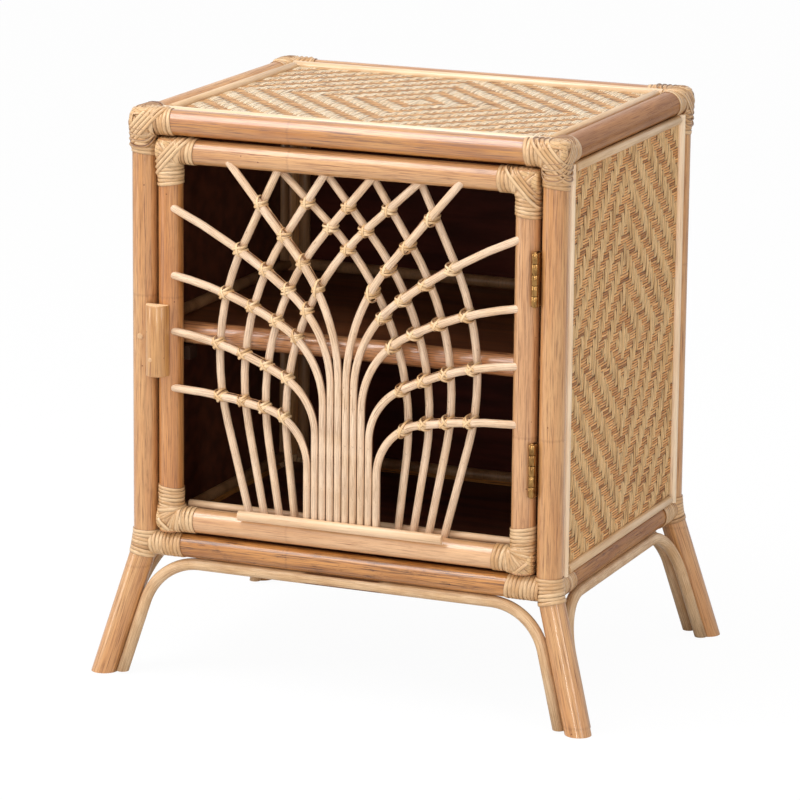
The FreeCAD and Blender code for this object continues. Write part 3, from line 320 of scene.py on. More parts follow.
stain = board_finish("dark_stain", (106, 58, 38), (72, 37, 24), 0.4)
for node in ("top_board", "side_board_left", "side_board_right", "bottom_board"):
    dress(node, stain)
dress("shelf_board", board_finish("shelf_stain", (142, 85, 49), (105, 58, 32), 0.5))

back_finish = board_finish("back_plywood", (88, 40, 28), (60, 27, 18), 0.1)
tree = back_finish.node_tree
board_colour = tree.nodes["Principled BSDF"].inputs["Base Color"]
stained = Strand(tree, board_colour.links[0].from_socket)
outward = Strand(tree, tree.nodes.new("ShaderNodeNewGeometry").outputs["True Normal"]).parts()[1] > 0.5
place = Strand(tree, tree.nodes.new("ShaderNodeTexCoord").outputs["Object"])
x, y, z = place.parts()
figure = abs((place.noise(x * 4.0, y, z * 1.1, 2.0, 0.4) * 16.0).fraction() - 0.5).ease(0.1, 0.5)
pores = place.noise(x * 800.0, y * 800.0, z * 16.0, 3.0).ease(0.5, 0.7)
bare = (figure * 0.5 + pores * 0.35).between((214, 170, 120), (166, 114, 68))
outward.between(stained, bare).feed(board_colour)
dress("back_board", back_finish)

# ---------------------------------------------------------------- leg arches
# Peeled rattan canes of 11.6 mm, steamed and bent into an inverted U. One stands under each base rail, its
# legs tacked to the inner sides of two legs of the cabinet and its crown against the rail.


def finished(piece, body, slot, finish, *nodes):
    """Puts a finished piece on the cabinet or the door, in place of nodes of the frame."""
    if finish:
        piece.data.materials.clear()
        piece.data.materials.append(finish)
    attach(piece, body)
    if nodes:
        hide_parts(*nodes)
    return piece


def place_mesh(piece, matrix):
    """Moves the mesh and leaves the object where it is, at the middle of the room."""
    piece.data.transform(matrix)
    piece.data.update()


def round_edges(piece, width, segments, sharp=50):
    """Rounds the edges that turn by more than sharp degrees."""
    rounding = piece.modifiers.new("worn_edges", "BEVEL")
    rounding.limit_method = "ANGLE"
    rounding.angle_limit = math.radians(sharp)
    rounding.width = width
    rounding.segments = segments
    bpy.ops.object.modifier_apply(modifier="worn_edges")


centre_lines = {}


def bend_cane(name, thickness, start, heading, moves, sides=14):
    """Works a cane in the X Z plane: a run is a length, a bend is a radius and degrees to the right."""
    bpy.ops.object.select_all(action="DESELECT")
    bpy.ops.mesh.primitive_circle_add(vertices=sides, radius=thickness / 2, location=start,
                                      rotation=(0, heading, 0), calc_uvs=False)
    cane = bpy.context.object
    cane.name = name
    bpy.ops.object.mode_set(mode="EDIT")
    bpy.ops.mesh.select_all(action="SELECT")
    spot = Vector(start)
    path = [spot.copy()]
    for move in moves:
        if isinstance(move, float):
            step = Vector((math.sin(heading), 0, math.cos(heading))) * move
            bpy.ops.mesh.extrude_region_move(TRANSFORM_OT_translate={"value": step})
            spot = spot + step
            path.append(spot.copy())
            continue
        radius, degrees = move
        turn = math.radians(degrees)
        hand = math.copysign(1, turn)
        middle = spot + Vector((math.cos(heading), 0, -math.sin(heading))) * radius * hand
        steps = max(3, math.ceil(abs(degrees) / 4))
        bpy.ops.mesh.spin(steps=steps, angle=-turn, center=middle, axis=(0, 1, 0))
        for number in range(1, steps + 1):
            arm = Matrix.Rotation(turn * number / steps, 3, "Y") @ (spot - middle)
            path.append(middle + arm)
        spot = path[-1].copy()
        heading += turn
    bpy.ops.mesh.select_all(action="SELECT")
    bpy.ops.mesh.remove_doubles(threshold=0.00002)
    bpy.ops.mesh.select_all(action="DESELECT")
    bpy.ops.mesh.select_non_manifold()
    bpy.ops.mesh.fill_holes(sides=0)
    bpy.ops.mesh.select_all(action="SELECT")
    bpy.ops.mesh.normals_make_consistent(inside=False)
    bpy.ops.object.mode_set(mode="OBJECT")
    bpy.ops.object.transform_apply(location=True, rotation=True, scale=True)
    round_edges(cane, thickness * 0.3, 3, sharp=60)
    bpy.ops.object.shade_smooth()
    lay_grain(cane, path, thickness / 2)
    centre_lines[name] = path
    return cane


def lay_grain(cane, path, radius):
    """A UV map in metres for a cane: along it, and round it from its far side."""
    line = np.array([tuple(p) for p in path])
    verts = np.array([tuple(v.co) for v in cane.data.vertices])
    reach = np.concatenate([[0], np.cumsum(np.linalg.norm(np.diff(line, axis=0), axis=1))])
    best = np.full(len(verts), np.inf)
    along = np.zeros(len(verts))
    round_it = np.zeros(len(verts))
    for k in range(len(line) - 1):
        step = line[k + 1] - line[k]
        length = np.linalg.norm(step)
        share = np.clip((verts - line[k]) @ step / length ** 2, 0, 1)
        arm = verts - line[k] - share[:, None] * step
        gap = np.linalg.norm(arm, axis=1)
        near = gap < best - 1e-9
        across = np.cross(step / length, (0, 1, 0))
        best[near] = gap[near]
        along[near] = (reach[k] + share * length)[near]
        round_it[near] = np.arctan2(arm @ across, -arm[:, 1])[near] * radius
    layer = cane.data.uv_layers.new(name="grain")
    girth = 2 * math.pi * radius
    for face in cane.data.polygons:
        turns = [round_it[v] for v in face.vertices]
        wide = max(turns) - min(turns) > girth / 2
        for loop, v in zip(face.loop_indices, face.vertices):
            turn = round_it[v] + (girth if wide and round_it[v] < 0 else 0)
            layer.data[loop].uv = (along[v], turn)


def cane_finish(name, pale, warm, dark, seed):
    """Peeled cane: fibres along it, scars of its leaves, and painted shade in a dark line where the stems of
    the trunk touch.
    """
    finish, surface, place = new_finish(name, "UV", Roughness=0.42, Coat_Weight=0.18, Coat_Roughness=0.2)
    run, turn, _ = place.parts()
    whole = place.node("TexCoord", {}, {}, "Object")
    wx, wy, wz = whole.parts()
    broad = place.noise(wx * 28.0 + seed, wy * 40.0, wz * 28.0, 3.0)
    fibre = place.noise(run * 34.0, turn * 1500.0, seed, 4.0, 0.65)
    hair = place.noise(run * 60.0, turn * 4200.0, seed + 3.0, 2.0)
    scar = place.noise(run * 160.0, turn * 300.0, seed + 9.0, 3.0, 0.7)
    grain = fibre.ease(0.42, 0.66) * 0.6 + hair.ease(0.48, 0.75) * 0.35 + scar.ease(0.62, 0.76) * 0.6
    # Painted shade: a dark line down both sides of each cane in the close-set trunk, near the middle and low
    # on the door.
    side = 1.0 - abs(abs(turn) - 6.05 * mm).ease(0.7 * mm, 1.7 * mm)
    packed_seam_shade = side * (1.0 - abs(wx).ease(36 * mm, 44 * mm)) * (1.0 - wz.ease(0.26, 0.4))
    tone = packed_seam_shade.between(broad.ease(0.35, 0.72).between(pale, warm), (92, 48, 22))
    grain.between(tone, dark).feed(surface.inputs["Base Color"])
    (0.4 + grain * 0.2).feed(surface.inputs["Roughness"])
    bump(surface, 1.0 - grain, 0.4, 0.2 * mm)
    return finish


BASE_LEVEL = 132 * mm
BASE_POLE = 23 * mm
ARCH = 11.6 * mm
ARCH_BEND = 58 * mm
ARCH_FOOT = 2 * mm
SEAT_GAP = 0.1 * mm
arch_finish = cane_finish("arch_cane", (230, 194, 150), (212, 170, 122), (146, 96, 56), 1.0)
for side in ("front", "back", "left", "right"):
    lengthwise = side in ("front", "back")
    span, splay, fall = (2 * POST[0], *SPLAY) if lengthwise else (2 * POST[1], SPLAY[1], SPLAY[0])
    slant = math.hypot(BASE_LEVEL, fall)
    lean = math.atan2(splay, slant)
    crown = BASE_POLE / 2 + ARCH / 2 + SEAT_GAP
    corner = span / 2 + splay / slant * crown - (POLE / 2 + ARCH / 2 + SEAT_GAP) / math.cos(lean)
    shoulder = corner - ARCH_BEND * math.tan((math.pi / 2 - lean) / 2)
    drop = slant + ARCH
    knee = (shoulder + ARCH_BEND * math.cos(lean), -crown - ARCH_BEND + ARCH_BEND * math.sin(lean))
    leg = (drop + knee[1]) / math.cos(lean)
    foot = (-knee[0] - leg * math.sin(lean), 0, -drop)
    bend = (ARCH_BEND, 90 - math.degrees(lean))
    arch = bend_cane("leg_arch_cane_" + side, ARCH, foot, lean, [leg, bend, 2 * shoulder, bend, leg], 24)
    hand = -1 if side in ("front", "left") else 1
    tilt = hand * math.atan2(fall, BASE_LEVEL)
    if lengthwise:
        place_mesh(arch, Matrix.Translation((0, hand * POST[1], BASE_LEVEL)) @ Matrix.Rotation(tilt, 4, "X"))
    else:
        place_mesh(arch, Matrix.Translation((hand * POST[0], 0, BASE_LEVEL)) @ Matrix.Rotation(-tilt, 4, "Y")
                   @ Matrix.Rotation(math.pi / 2, 4, "Z"))
    bpy.ops.object.mode_set(mode="EDIT")
    bpy.ops.mesh.select_all(action="SELECT")
    bpy.ops.mesh.bisect(plane_co=(0, 0, ARCH_FOOT), plane_no=(0, 0, 1), clear_inner=True, use_fill=True)
    bpy.ops.object.mode_set(mode="OBJECT")
    finished(arch, "cabinet", "rattan_cane", arch_finish, "leg_arch_" + side)

# ---------------------------------------------------------------- woven mats
# Rattan splits woven three over and two under into nested diamonds: pale splits run up the panel and tan
# ones across it, each a bundle of three. The mats are glued to the plywood over a dark ground, which is
# painted shade showing in the gaps.


def lay_copies(name, pattern, places):
    """One mesh with a copy of a modelled piece at every matrix, each with a tone of its own."""
    verts = np.array([tuple(v.co) for v in pattern.data.vertices])
    faces = [tuple(f.vertices) for f in pattern.data.polygons]
    uvs = [tuple(loop.uv) for loop in pattern.data.uv_layers[0].data]
    all_verts, all_faces, all_uvs, tones = [], [], [], []
    for number, (matrix, tone) in enumerate(places):
        grid = np.array(matrix)
        all_verts.append(verts @ grid[:3, :3].T + grid[:3, 3])
        turned = np.linalg.det(grid[:3, :3]) < 0
        start = number * len(verts)
        loop = 0
        for face in faces:
            ring = [v + start for v in face]
            marks = uvs[loop:loop + len(face)]
            loop += len(face)
            all_faces.append(ring[::-1] if turned else ring)
            all_uvs.extend(marks[::-1] if turned else marks)
        tones.extend([tone] * len(verts))
    mesh = bpy.data.meshes.new(name)
    mesh.from_pydata(np.concatenate(all_verts).tolist(), [], all_faces)
    layer = mesh.uv_layers.new(name="grain")
    layer.data.foreach_set("uv", np.array(all_uvs, np.float32).ravel())
    mesh.attributes.new("tone", "FLOAT", "POINT").data.foreach_set("value", np.array(tones, np.float32))
    mesh.polygons.foreach_set("use_smooth", [True] * len(mesh.polygons))
    piece = bpy.data.objects.new(name, mesh)
    bpy.context.scene.collection.objects.link(piece)
    return piece


# One split of rattan, a metre long and wide before it is scaled, arched along and across.
bpy.ops.object.select_all(action="DESELECT")
bpy.ops.mesh.primitive_grid_add(x_subdivisions=8, y_subdivisions=4, size=1, calc_uvs=True)
split = bpy.context.object
split.name = "split"
for v in split.data.vertices:
    along, across = abs(v.co.x) * 2, abs(v.co.y) * 2
    v.co.z = -1.0 * along ** 4 - 0.35 * across ** 2


def mat_finish(name, gloss, pale, dark, deep):
    """Split rattan: fibres and veins along it, and painted shade at its edges and where it dives under the
    next.
    """
    finish, surface, place = new_finish(name, "UV", Roughness=0.45, Specular_IOR_Level=0.12 + gloss,
                                        Coat_Weight=gloss, Coat_Roughness=0.25)
    along, across, _ = place.parts()
    tone = place.node("Attribute", {"attribute_name": "tone"}, {}, "Fac")
    fibre = place.noise(along * 3.0 + tone * 50.0, across * 9.0, tone * 90.0, 4.0, 0.65)
    vein = place.noise(along * 1.6 + tone * 30.0, across * 4.0, tone * 60.0, 2.0)
    # Painted shade: darker along the split's edges and towards its ends, where it dives under the next split.
    edge = abs(across - 0.5).ease(0.34, 0.5)
    ends = abs(along - 0.5).ease(0.4, 0.5)
    shade = tone.between(pale, dark)
    marks = fibre.ease(0.42, 0.75) * 0.4 + vein.ease(0.5, 0.62) * 0.4 + edge * 0.85 + ends * 0.75
    marks = marks + tone.ease(0.88, 0.96) * 0.25
    marks.at_most(1.0).between(shade, deep).feed(surface.inputs["Base Color"])
    bump(surface, fibre, 0.3, 0.2 * mm)
    return finish


top_splits = (mat_finish("pale_split_top", 0.4, (253, 230, 192), (233, 193, 138), (90, 50, 22)),
              mat_finish("tan_split_top", 0.12, (224, 174, 118), (188, 132, 78), (58, 30, 12)))
side_splits = (mat_finish("pale_split_side", 0.03, (253, 212, 156), (238, 188, 126), (92, 50, 22)),
               mat_finish("tan_split_side", 0.03, (252, 190, 122), (208, 138, 72), (64, 32, 14)))
# The dark ground behind each mat is painted shade, seen through the gaps between the splits.
ground_finish, ground_surface, place = new_finish("mat_ground", "Object", Roughness=0.8)
gx, gy, gz = place.parts()
gap_shade_speckle = place.noise(gx * 400, gy * 400, gz * 400)
gap_shade_speckle.between((96, 60, 30), (60, 34, 16)).feed(ground_surface.inputs["Base Color"])

SPLIT_THICK = 0.9 * mm
PALE_LEVEL, TAN_LEVEL = 2.3 * mm, 2.1 * mm
random.seed(7)


def toned(matrix):
    """A place for a copy, with a tone of its own from 0 to 1."""
    return matrix, random.random()


def weave(name, columns, rows, half_width, half_height, matrix, finishes, node):
    """A mat in its own X Y plane, pale splits along Y, laid on a board by a matrix."""
    wide, high = 2 * half_width / columns, 2 * half_height / rows
    mid_column, mid_row = columns // 2, rows // 2
    places = {True: [], False: []}

    def lay_run(pale, line, start, count):
        """Three splits side by side over a run of cells in one column, if pale, or else in one row."""
        half_across, cell_across, half_along, cell_along, level, spare, quarter = (
            (half_width, wide, half_height, high, PALE_LEVEL, 0.25, math.pi / 2) if pale else
            (half_height, high, half_width, wide, TAN_LEVEL, 0.5, 0.0))
        for thread in (-1, 0, 1):
            across = -half_across + (line + 0.5 + thread / 3) * cell_across + random.uniform(-0.12, 0.12) * mm
            along = -half_along + (start + count / 2) * cell_along + random.uniform(-0.3, 0.3) * mm
            spot = (across, along, level) if pale else (along, across, level)
            turn = Matrix.Rotation(quarter + random.uniform(-0.02, 0.02), 4, "Z")
            size = Matrix.Diagonal(((count + spare) * cell_along, cell_across / 3 * 0.97, SPLIT_THICK, 1))
            places[pale].append(toned(Matrix.Translation(spot) @ turn @ size))

    for pale, lines, cells in ((True, columns, rows), (False, rows, columns)):
        for line in range(lines):
            start = 0
            for cell in range(cells + 1):
                column, row = (line, cell) if pale else (cell, line)
                pale_above = (abs(column - mid_column) + abs(row - mid_row)) % 5 < 3
                if cell == cells or pale_above != pale:
                    if cell > start:
                        lay_run(pale, line, start, cell - start)
                    start = cell + 1

    for pale, finish in zip((True, False), finishes):
        laid = lay_copies(name + ("_pale_splits" if pale else "_tan_splits"), split, places[pale])
        place_mesh(laid, matrix)
        finished(laid, "cabinet", "woven_mat", finish, *([node] if pale else []))
    bpy.ops.object.select_all(action="DESELECT")
    bpy.ops.mesh.primitive_grid_add(x_subdivisions=3, y_subdivisions=3, size=1)
    ground = bpy.context.object
    ground.name = name + "_ground"
    spread = Matrix.Diagonal((2 * half_width, 2 * half_height, 1, 1))
    place_mesh(ground, matrix @ Matrix.Translation((0, 0, 0.5 * mm)) @ spread)
    finished(ground, "cabinet", "woven_mat", ground_finish)


# How far out from the middle of the poles the mats and beads lie, and the heights of the top rails' middle
# and of the middle of the side panels.
SEAT = 5.6 * mm
TOP_LEVEL = 547.5 * mm
SIDE_MIDDLE = 339.2 * mm
MAT_LONG, MAT_DEEP, MAT_HIGH = 190.3 * mm, 146.8 * mm, 188.1 * mm
weave("top_mat", 55, 41, MAT_LONG, MAT_DEEP, Matrix.Translation((0, 0, TOP_LEVEL + SEAT)), top_splits,
      "top_woven_mat")
for side, hand in (("left", -1), ("right", 1)):
    turned = Matrix.Rotation(hand * math.pi / 2, 4, "Z") @ Matrix.Rotation(math.pi / 2, 4, "X")
    weave("side_mat_" + side, 37, 49, MAT_DEEP, MAT_HIGH,
          Matrix.Translation((hand * (POST[0] + SEAT), 0, SIDE_MIDDLE)) @ turned, side_splits,
          "side_woven_mat_" + side)
bpy.data.objects.remove(split)

# ---------------------------------------------------------------- beads
# Half-round rattan strips of 8.8 mm, pinned over the edges of every panel where it meets the poles. Two run
# the whole length and two fit between them.
BEAD = 8.8 * mm
BEAD_RISE = 6.9 * mm


def round_bar(sides, radius, length, place=(0, 0, 0)):
    """An upright bar with its middle at place."""
    bpy.ops.object.select_all(action="DESELECT")
    bpy.ops.mesh.primitive_cylinder_add(vertices=sides, radius=radius, depth=length, location=place,
                                        calc_uvs=False)
    bpy.ops.object.transform_apply(location=True, rotation=True, scale=True)
    return bpy.context.object


def ease_rims(piece, width, segments):
    """Rounds the sharp edges and shades the rest smooth."""
    round_edges(piece, width, segments)
    bpy.ops.object.shade_smooth_by_angle(angle=math.radians(40))


def half_round(start, run, length, bulge, half_width, rise):
    """A half-round strip from start along run, flat below and round towards bulge."""
    strip = round_bar(24, half_width, length)
    bpy.ops.object.mode_set(mode="EDIT")
    bpy.ops.mesh.select_all(action="DESELECT")
    bpy.ops.object.mode_set(mode="OBJECT")
    seat = half_width - rise
    for v in strip.data.vertices:
        v.select = v.co.y < -half_width * 0.2
    bpy.ops.object.mode_set(mode="EDIT")
    bpy.ops.transform.resize(value=(1, 0, 1), center_override=(0, seat, 0))
    bpy.ops.object.mode_set(mode="OBJECT")
    ease_rims(strip, 0.5 * mm, 2)
    run, bulge = Vector(run), Vector(bulge)
    lie = Matrix((bulge.cross(run), bulge, run)).transposed().to_4x4()
    middle = Matrix.Translation(Vector(start) + run * length / 2)
    place_mesh(strip, middle @ lie @ Matrix.Translation((0, -seat, 0)))
    return strip


def strip_finish(name, along, pale, warm, dark, coat=0.22):
    """Split core: long fibres and soft clouds along it."""
    finish, surface, place = new_finish(name, "Object", Roughness=0.4, Coat_Weight=coat, Coat_Roughness=0.15)
    spot = place.parts()
    run = spot[along]
    one, two = [spot[k] for k in range(3) if k != along]
    broad = place.noise(one * 60.0, two * 60.0, run * 12.0, 3.0)
    fibre = place.noise(one * 1300.0, two * 1300.0, run * 22.0, 4.0, 0.65)
    tone = broad.ease(0.35, 0.7).between(pale, warm)
    grain = fibre.ease(0.46, 0.76) * 0.6
    grain.between(tone, dark).feed(surface.inputs["Base Color"])
    bump(surface, 1.0 - grain, 0.35, 0.2 * mm)
    return finish


# The upright beads are coloured paler than the others: painted light on the sides.
bead_finishes = (
    strip_finish("bead_rattan_x", 0, (238, 208, 168), (224, 188, 144), (166, 112, 66), 1.0),
    strip_finish("bead_rattan_y", 1, (228, 192, 148), (208, 168, 120), (150, 100, 58), 0.2),
    strip_finish("bead_rattan_z", 2, (252, 226, 192), (242, 208, 168), (166, 112, 66), 0.3))
AXES = (Vector((1, 0, 0)), Vector((0, 1, 0)), Vector((0, 0, 1)))


def join(name, pieces):
    """Makes one piece of several."""
    bpy.ops.object.select_all(action="DESELECT")
    for piece in pieces:
        piece.select_set(True)
    bpy.context.view_layer.objects.active = pieces[0]
    if len(pieces) > 1:
        bpy.ops.object.join()
    pieces[0].name = name
    return pieces[0]


def bead_frame(name, node, long_way, half_long, short_way, half_short, centre, bulge):
    """Two long beads along one way and two between them, as one piece with a finish for each way."""
    made = []
    for along, half, other, reach in ((long_way, half_long, short_way, half_short),
                                      (short_way, half_short - BEAD, long_way, half_long - BEAD / 2)):
        for hand in (-1, 1):
            start = Vector(centre) - AXES[along] * half + AXES[other] * (hand * reach)
            bead = half_round(start, AXES[along], 2 * half, bulge, BEAD / 2, BEAD_RISE)
            bead.data.materials.append(bead_finishes[along])
            made.append(bead)
    finished(join(name, made), "cabinet", "rattan_bead", None, node)


BEAD_LONG, BEAD_DEEP, BEAD_BACK, BEAD_HIGH = 199.2 * mm, 151.3 * mm, 194.8 * mm, 197.0 * mm
bead_frame("top_bead_frame", "top_beads", 0, BEAD_LONG, 1, BEAD_DEEP, (0, 0, TOP_LEVEL + SEAT), (0, 0, 1))
for side, hand in (("left", -1), ("right", 1)):
    bead_frame("side_bead_frame_" + side, "side_beads_" + side, 2, BEAD_HIGH, 1, BEAD_DEEP,
               (hand * (POST[0] + SEAT), 0, SIDE_MIDDLE), (hand, 0, 0))
bead_frame("back_bead_frame", "back_beads", 2, BEAD_HIGH, 0, BEAD_BACK, (0, POST[1] + SEAT, SIDE_MIDDLE),
           (0, 1, 0))

# Inside, wider strips cover the joints of the shelf, the floor and the back, and stand against the two back
# posts. Each is cut to fit below or above the shelf. Their colour, darker than the beads outside, is painted
# shade.
INNER = 12 * mm
INNER_FRONT = -118 * mm
shelf_low, shelf_top = (corner[2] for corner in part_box("shelf_board"))
floor_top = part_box("bottom_board")[1][2]
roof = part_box("top_board")[0][2]
back_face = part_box("back_board")[0][1]
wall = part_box("side_board_right")[0][0]
inner_strips = []


def inner_strip(start, way, length, bulge):
    inner_strips.append(half_round(start, AXES[way], length, bulge, INNER / 2, INNER * 0.6))


for level in (floor_top, shelf_top):
    middle = level + INNER / 2
    inner_strip((-wall + INNER, back_face, middle), 0, 2 * wall - 2 * INNER, (0, -1, 0))
    for hand in (-1, 1):
        inner_strip((hand * wall, INNER_FRONT, middle), 1, back_face - INNER_FRONT - 10 * mm, (-hand, 0, 0))
beside, before = (POST[k] - POLE / 2 - INNER / 2 for k in (0, 1))
for low, high in ((floor_top + INNER, shelf_low), (shelf_top + INNER, roof)):
    for hand in (-1, 1):
        inner_strip((hand * beside, back_face, low), 2, high - low, (0, -1, 0))
        inner_strip((hand * wall, before, low), 2, high - low, (-hand, 0, 0))
# Darker than the beads outside: painted shade inside the cabinet.
shaded_inner_finish = strip_finish("inner_bead_rattan", 2, (182, 136, 94), (150, 106, 68), (84, 52, 28))
finished(join("inner_bead_strips", inner_strips), "cabinet", "rattan_bead", shaded_inner_finish)

# ---------------------------------------------------------------- lattice of the door
# Peeled canes of 7.7 mm, bent hot and scooped at their ends to sit on the poles of the door. Five a side fan
# out in front from the middle of the bottom rail, and four a side belly outwards behind them and cross over.
CANE = 7.7 * mm
DOOR_Y = -167 * mm
DOOR_POLE = 24 * mm
STILE = 183.4 * mm
RAIL_LOW, RAIL_HIGH = 158.1 * mm, 520.4 * mm
LAYER = 7.8 * mm
CANE_END = 5 * mm
FOOT_LIFT = 4.6 * mm
STEM_PITCH = 8 * mm
STATION_PITCH, FOOT_PITCH = 48 * mm, 16 * mm
BELLY = 260 * mm
TOP_FAN_BEND, TOP_FAN_REACH = 187 * mm, 120 * mm
# Each fan's share of the door's height where it ends, the bend and turn of its shoulder, and the bend beyond.
FANS = ((0.364, 54, 78, 510), (0.5185, 59, 62, 310), (0.6705, 84, 61, 347), (0.8525, 112, 52, 540))
TOP_LEANS = (25.5, 32.8, 40.1, 47.4)
FOOT_LEANS = (14.5, 11, 9, 6.5)


def seat_of(layer):
    """How far from the axis of a door pole a cane of this layer ends."""
    return math.sqrt((DOOR_POLE / 2) ** 2 - layer ** 2) - CANE_END


def outward_fan(number):
    """Foot, heading and moves of a fan cane that ends on the right stile."""
    share, bend, turn, sweep = FANS[number]
    bend, sweep, turn = bend * mm, sweep * mm, math.radians(turn)
    stem = STEM_PITCH * (4.5 - number)
    end_x = STILE - seat_of(LAYER)
    final = math.acos(math.cos(turn) - (end_x - stem - bend * (1 - math.cos(turn))) / sweep)
    rise = RAIL_LOW + share * (RAIL_HIGH - RAIL_LOW)
    start = rise - bend * math.sin(turn) - sweep * (math.sin(final) - math.sin(turn))
    foot = RAIL_LOW + seat_of(LAYER) + FOOT_LIFT
    return (stem, foot), 0.0, [start - foot, (bend, math.degrees(turn)), (sweep, math.degrees(final - turn))]


def top_fan():
    """The fan cane next to the middle, which ends on the top rail."""
    bend, turn = TOP_FAN_BEND, math.radians(TOP_LEANS[2])
    stem = STEM_PITCH / 2
    foot = RAIL_LOW + seat_of(LAYER) + FOOT_LIFT
    aside = TOP_FAN_REACH - stem - bend * (1 - math.cos(turn))
    start = RAIL_HIGH - seat_of(LAYER) - bend * math.sin(turn) - aside / math.tan(turn)
    straight = aside / math.sin(turn)
    return (stem, foot), 0.0, [start - foot, (bend, math.degrees(turn)), straight]


def upright(number, layer):
    """An upright cane of the right side, worked from its foot on the bottom rail."""
    lean, foot_lean = math.radians(TOP_LEANS[number]), math.radians(FOOT_LEANS[number])
    station = (STATION_PITCH * (1.5 - number), RAIL_HIGH - DOOR_POLE / 2)
    foot = (STEM_PITCH * 4.5 + FOOT_PITCH * (4 - number), RAIL_LOW + DOOR_POLE / 2)
    sunk = DOOR_POLE / 2 - seat_of(layer)
    top = (station[0] - sunk * math.tan(lean), station[1] + sunk)
    low = (foot[0] - sunk * math.tan(foot_lean), foot[1] - sunk)
    drop = (foot[0] - station[0] + math.tan(foot_lean) * (station[1] - foot[1])) / (
        math.tan(lean) + math.tan(foot_lean))
    meet = (station[0] + math.tan(lean) * drop, station[1] - drop)
    reach = BELLY * math.tan((lean + foot_lean) / 2)
    below = math.hypot(meet[0] - low[0], meet[1] - low[1]) - reach
    above = math.hypot(meet[0] - top[0], meet[1] - top[1]) - reach
    return low, foot_lean, [below, (BELLY, -math.degrees(lean + foot_lean)), above]


def lattice_cane(name, plan, layer, hand):
    """Bends one cane for the right side, or mirrored for the left."""
    (x, z), heading, moves = plan
    moves = [move if isinstance(move, float) else (move[0], hand * move[1]) for move in moves]
    return bend_cane(name, CANE, (hand * x, DOOR_Y + layer, z), hand * heading, moves)


for side, hand in (("left", -1), ("right", 1)):
    fans = [lattice_cane("fan_%s_%d" % (side, n), outward_fan(n), -LAYER, hand) for n in range(4)]
    fans.append(lattice_cane("fan_%s_4" % side, top_fan(), -LAYER, hand))
    layer = LAYER if hand > 0 else 0.0
    uprights = [lattice_cane("upright_%s_%d" % (side, n), upright(n, layer), layer, hand)
                for n in range(4)]
    finish = cane_finish("lattice_cane_" + side, (247, 216, 183), (238, 203, 164), (126, 74, 36), 5.0 + hand)
    finished(join("fan_lattice_" + side, fans), "door", "rattan_cane", finish, "fan_canes_" + side)
    finished(join("upright_lattice_" + side, uprights), "door", "rattan_cane", finish,
             "upright_canes_" + side)

# ---------------------------------------------------------------- ties of the lattice
# Wherever two canes cross they are lashed with three turns of narrow peel, drawn tight round both and tucked
# in behind. Each turn lies square to the line midway between the two canes.


def peel_hoop(name, thick, square):
    """One turn of peel, a metre in radius and wide before it is scaled. A larger square flattens it."""
    bpy.ops.object.select_all(action="DESELECT")
    bpy.ops.mesh.primitive_torus_add(major_segments=28, minor_segments=6, major_radius=1,
                                     minor_radius=thick)
    hoop = bpy.context.object
    hoop.name = name
    bpy.ops.object.mode_set(mode="EDIT")
    bpy.ops.mesh.select_all(action="SELECT")
    bpy.ops.transform.resize(value=(1, 1, 1.12 / thick), center_override=(0, 0, 0))
    bpy.ops.object.mode_set(mode="OBJECT")
    for v in hoop.data.vertices:
        turn = math.atan2(v.co.y, v.co.x)
        proud = (math.hypot(v.co.x, v.co.y) - 1) / thick
        flat = 1 + math.copysign(abs(proud) ** 0.5, proud) * thick
        v.co.x, v.co.y = flat * math.cos(turn), flat * math.sin(turn)
        grow = (abs(math.cos(turn)) ** square + abs(math.sin(turn)) ** square) ** (-1 / square)
        v.co.x, v.co.y = v.co.x * grow, v.co.y * grow
    return hoop


def turn_at(centre, normal, long, half_long, half_short, width):
    """The matrix of a turn of peel about a normal, with its longer radius along long."""
    normal = Vector(normal).normalized()
    long = Vector(long)
    long = (long - normal * long.dot(normal)).normalized()
    axes = Matrix((long * half_long, normal.cross(long) * half_short, normal * (width / 2))).transposed()
    return Matrix.Translation(centre) @ axes.to_4x4()


def peel_finish(name, pale, warm, dark):
    """Glossy peel: fine fibres along it, painted shade along both its edges, and a tone for each turn."""
    finish, surface, place = new_finish(name, "UV", Roughness=0.38, Coat_Weight=0.28, Coat_Roughness=0.16)
    along, across, _ = place.parts()
    tone = place.node("Attribute", {"attribute_name": "tone"}, {}, "Fac")
    fibre = place.noise(along * 16.0 + tone * 70.0, across * 11.0, tone * 40.0, 4.0, 0.6)
    patch = place.noise(along * 7.0, tone * 30.0, 2.0, 2.0)
    rim_shade = 1.0 - abs((across * 2.0).fraction() - 0.5).ease(0.12, 0.27)
    shade = (tone * 0.5 + patch * 0.5).ease(0.2, 0.8).between(pale, warm)
    marks = (fibre.ease(0.5, 0.75) * 0.45 + rim_shade * 0.65 + tone.ease(0.86, 0.95) * 0.25).at_most(1.0)
    marks.between(shade, dark).feed(surface.inputs["Base Color"])
    bump(surface, fibre, 0.3, 0.15 * mm)
    return finish


def crossing(cane_a, cane_b):
    """Where the middles of two canes cross in the face of the door, with their directions there."""
    line_a, line_b = centre_lines[cane_a], centre_lines[cane_b]
    for a0, a1 in zip(line_a, line_a[1:]):
        for b0, b1 in zip(line_b, line_b[1:]):
            u, v, w = a1 - a0, b1 - b0, b0 - a0
            flat = u.x * v.z - u.z * v.x
            if abs(flat) < 1e-12:
                continue
            s, t = (w.x * v.z - w.z * v.x) / flat, (w.x * u.z - w.z * u.x) / flat
            if 0 <= s <= 1 and 0 <= t <= 1:
                return a0 + u * s, u.normalized(), v.normalized()
    return None


TIE_PITCH, TIE_WIDE, CROSS_WIDE = 2.0 * mm, 2.5 * mm, 2.6 * mm
# Canes that lean from the line midway between them by more than this get a fourth turn, crosswise.
WIDE_CROSSING = math.radians(27)
tie_hoop = peel_hoop("tie_hoop", 0.1, 2.5)
tie_places = []


